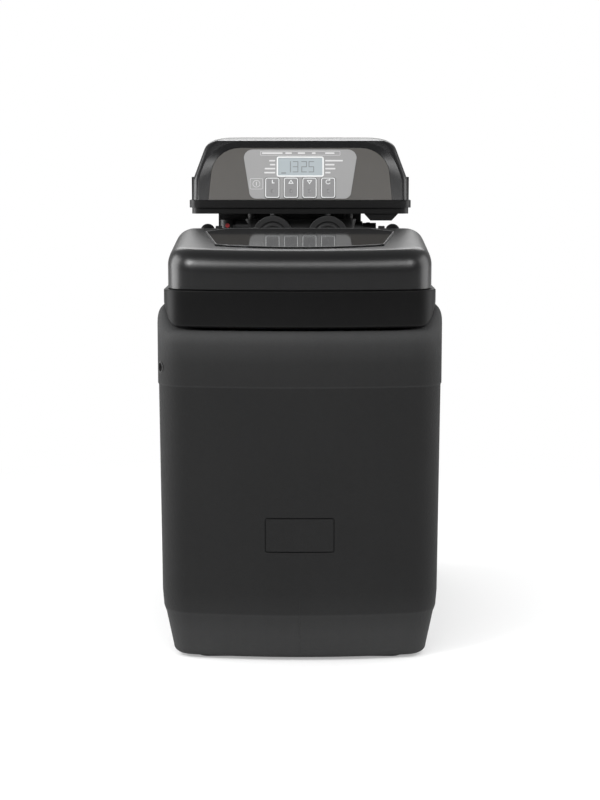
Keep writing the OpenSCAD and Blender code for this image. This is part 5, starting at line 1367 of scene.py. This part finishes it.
@dataclass
class Studio:
    """A white studio: pale floor, bright sides, soft lamps and the photo's camera."""

    floor_half: float = 6.0
    camera_place: Point3 = (0.0046, -2.1536, 0.5564)
    camera_dip: float = 7.787
    camera_turn: float = 0.127
    lens: float = 79.29
    sensor: float = 36.0

    def _world(self) -> None:
        """White behind the object; bright sides and a darker camera side in its reflections."""
        world = bpy.data.worlds.new("studio")
        bpy.context.scene.world = world
        world.use_nodes = True
        nodes, links = world.node_tree.nodes, world.node_tree.links
        nodes.clear()
        out = nodes.new("ShaderNodeOutputWorld")
        path = nodes.new("ShaderNodeLightPath")
        seen, glow, soft = (nodes.new("ShaderNodeBackground") for _ in range(3))
        seen.inputs["Color"].default_value = (1, 1, 1, 1)
        soft.inputs["Color"].default_value = (0.85, 0.85, 0.85, 1)
        place = nodes.new("ShaderNodeTexCoord")
        axes = nodes.new("ShaderNodeSeparateXYZ")
        links.new(place.outputs["Generated"], axes.inputs[0])
        ramp = nodes.new("ShaderNodeMapRange")
        ramp.interpolation_type = "SMOOTHSTEP"
        ramp.inputs["From Min"].default_value = -0.75
        ramp.inputs["From Max"].default_value = 0.3
        ramp.inputs["To Min"].default_value = 0.06
        ramp.inputs["To Max"].default_value = 0.45
        links.new(axes.outputs["Y"], ramp.inputs["Value"])
        links.new(ramp.outputs[0], glow.inputs["Strength"])
        shine, view = nodes.new("ShaderNodeMixShader"), nodes.new("ShaderNodeMixShader")
        links.new(path.outputs["Is Glossy Ray"], shine.inputs[0])
        links.new(soft.outputs[0], shine.inputs[1])
        links.new(glow.outputs[0], shine.inputs[2])
        links.new(path.outputs["Is Camera Ray"], view.inputs[0])
        links.new(shine.outputs[0], view.inputs[1])
        links.new(seen.outputs[0], view.inputs[2])
        links.new(view.outputs[0], out.inputs["Surface"])

    def _floor(self) -> None:
        """A pale floor that keeps the object's shadow and fades to white far away."""
        Piece.clear_bench()
        bpy.ops.mesh.primitive_plane_add(size=2 * self.floor_half)
        floor = bpy.context.object
        floor.name = "floor"
        material = bpy.data.materials.new("floor_white")
        material.use_nodes = True
        nodes, links = material.node_tree.nodes, material.node_tree.links
        shader = nodes["Principled BSDF"]
        shader.inputs["Base Color"].default_value = (0.86, 0.86, 0.86, 1)
        shader.inputs["Roughness"].default_value = 0.6
        shader.inputs["Specular IOR Level"].default_value = 0.1
        white = nodes.new("ShaderNodeEmission")
        place = nodes.new("ShaderNodeTexCoord")
        far = nodes.new("ShaderNodeVectorMath")
        far.operation = "LENGTH"
        links.new(place.outputs["Object"], far.inputs[0])
        fade = nodes.new("ShaderNodeMapRange")
        fade.interpolation_type = "SMOOTHSTEP"
        fade.inputs["From Min"].default_value = 0.25
        fade.inputs["From Max"].default_value = 1.1
        fade.inputs["To Min"].default_value = 0.35
        links.new(far.outputs["Value"], fade.inputs["Value"])
        path = nodes.new("ShaderNodeLightPath")
        seen = nodes.new("ShaderNodeMath")
        seen.operation = "MULTIPLY"
        links.new(fade.outputs[0], seen.inputs[0])
        links.new(path.outputs["Is Camera Ray"], seen.inputs[1])
        blend = nodes.new("ShaderNodeMixShader")
        links.new(seen.outputs[0], blend.inputs[0])
        links.new(shader.outputs[0], blend.inputs[1])
        links.new(white.outputs[0], blend.inputs[2])
        links.new(blend.outputs[0], nodes["Material Output"].inputs["Surface"])
        floor.data.materials.append(material)

    def _lamp(self, name: str, place: Point3, aim: Point3, size: Point2, watts: float) -> None:
        """A rectangular soft lamp.

        Args:
            name: the lamp's name.
            place: where it hangs.
            aim: the point that it faces.
            size: its width and height.
            watts: its power.
        """
        light = bpy.data.lights.new(name, "AREA")
        light.shape = "RECTANGLE"
        light.size, light.size_y = size
        light.energy = watts
        lamp = bpy.data.objects.new(name, light)
        bpy.context.scene.collection.objects.link(lamp)
        lamp.location = place
        lamp.rotation_euler = (Vector(aim) - Vector(place)).to_track_quat("-Z", "Y").to_euler()

    def _camera(self) -> None:
        """The camera that the photo was taken with."""
        lens = bpy.data.cameras.new("photo_camera")
        lens.sensor_fit = "VERTICAL"
        lens.sensor_height = self.sensor
        lens.lens = self.lens
        camera = bpy.data.objects.new("photo_camera", lens)
        bpy.context.scene.collection.objects.link(camera)
        camera.location = self.camera_place
        camera.rotation_euler = (math.radians(90 - self.camera_dip), 0, math.radians(self.camera_turn))
        bpy.context.scene.camera = camera

    def build(self) -> None:
        """Sets up the world, the floor, the lamps and the camera."""
        bpy.context.scene.view_settings.view_transform = "Standard"
        self._world()
        self._floor()
        self._lamp("front_box", (0.0, -1.45, 1.35), (0, -0.15, 0.45), (1.9, 0.35), 12)
        self._lamp("front_left_box", (-1.0, -1.2, 1.3), (0, -0.15, 0.45), (0.4, 0.35), 12)
        self._lamp("front_right_box", (1.0, -1.2, 1.3), (0, -0.15, 0.45), (0.4, 0.35), 5)
        self._lamp("left_box", (-1.5, 0.1, 0.7), (0, -0.1, 0.35), (1.0, 1.3), 20)
        self._lamp("right_box", (1.5, 0.1, 0.7), (0, -0.1, 0.35), (1.0, 1.3), 10)
        self._lamp("back_box", (0.0, 1.4, 1.3), (0, 0.1, 0.5), (1.6, 0.6), 8)
        self._camera()


def main() -> None:
    """Builds the studio and the object."""
    logging.basicConfig(level=logging.INFO, format="%(name)s: %(message)s")
    Studio().build()
    tank = SaltTank()
    tank.build()
    CollarAndLid(tank).build()
    ControlHead().build()
    InnerWorks().build()


if __name__ == "__main__":
    main()
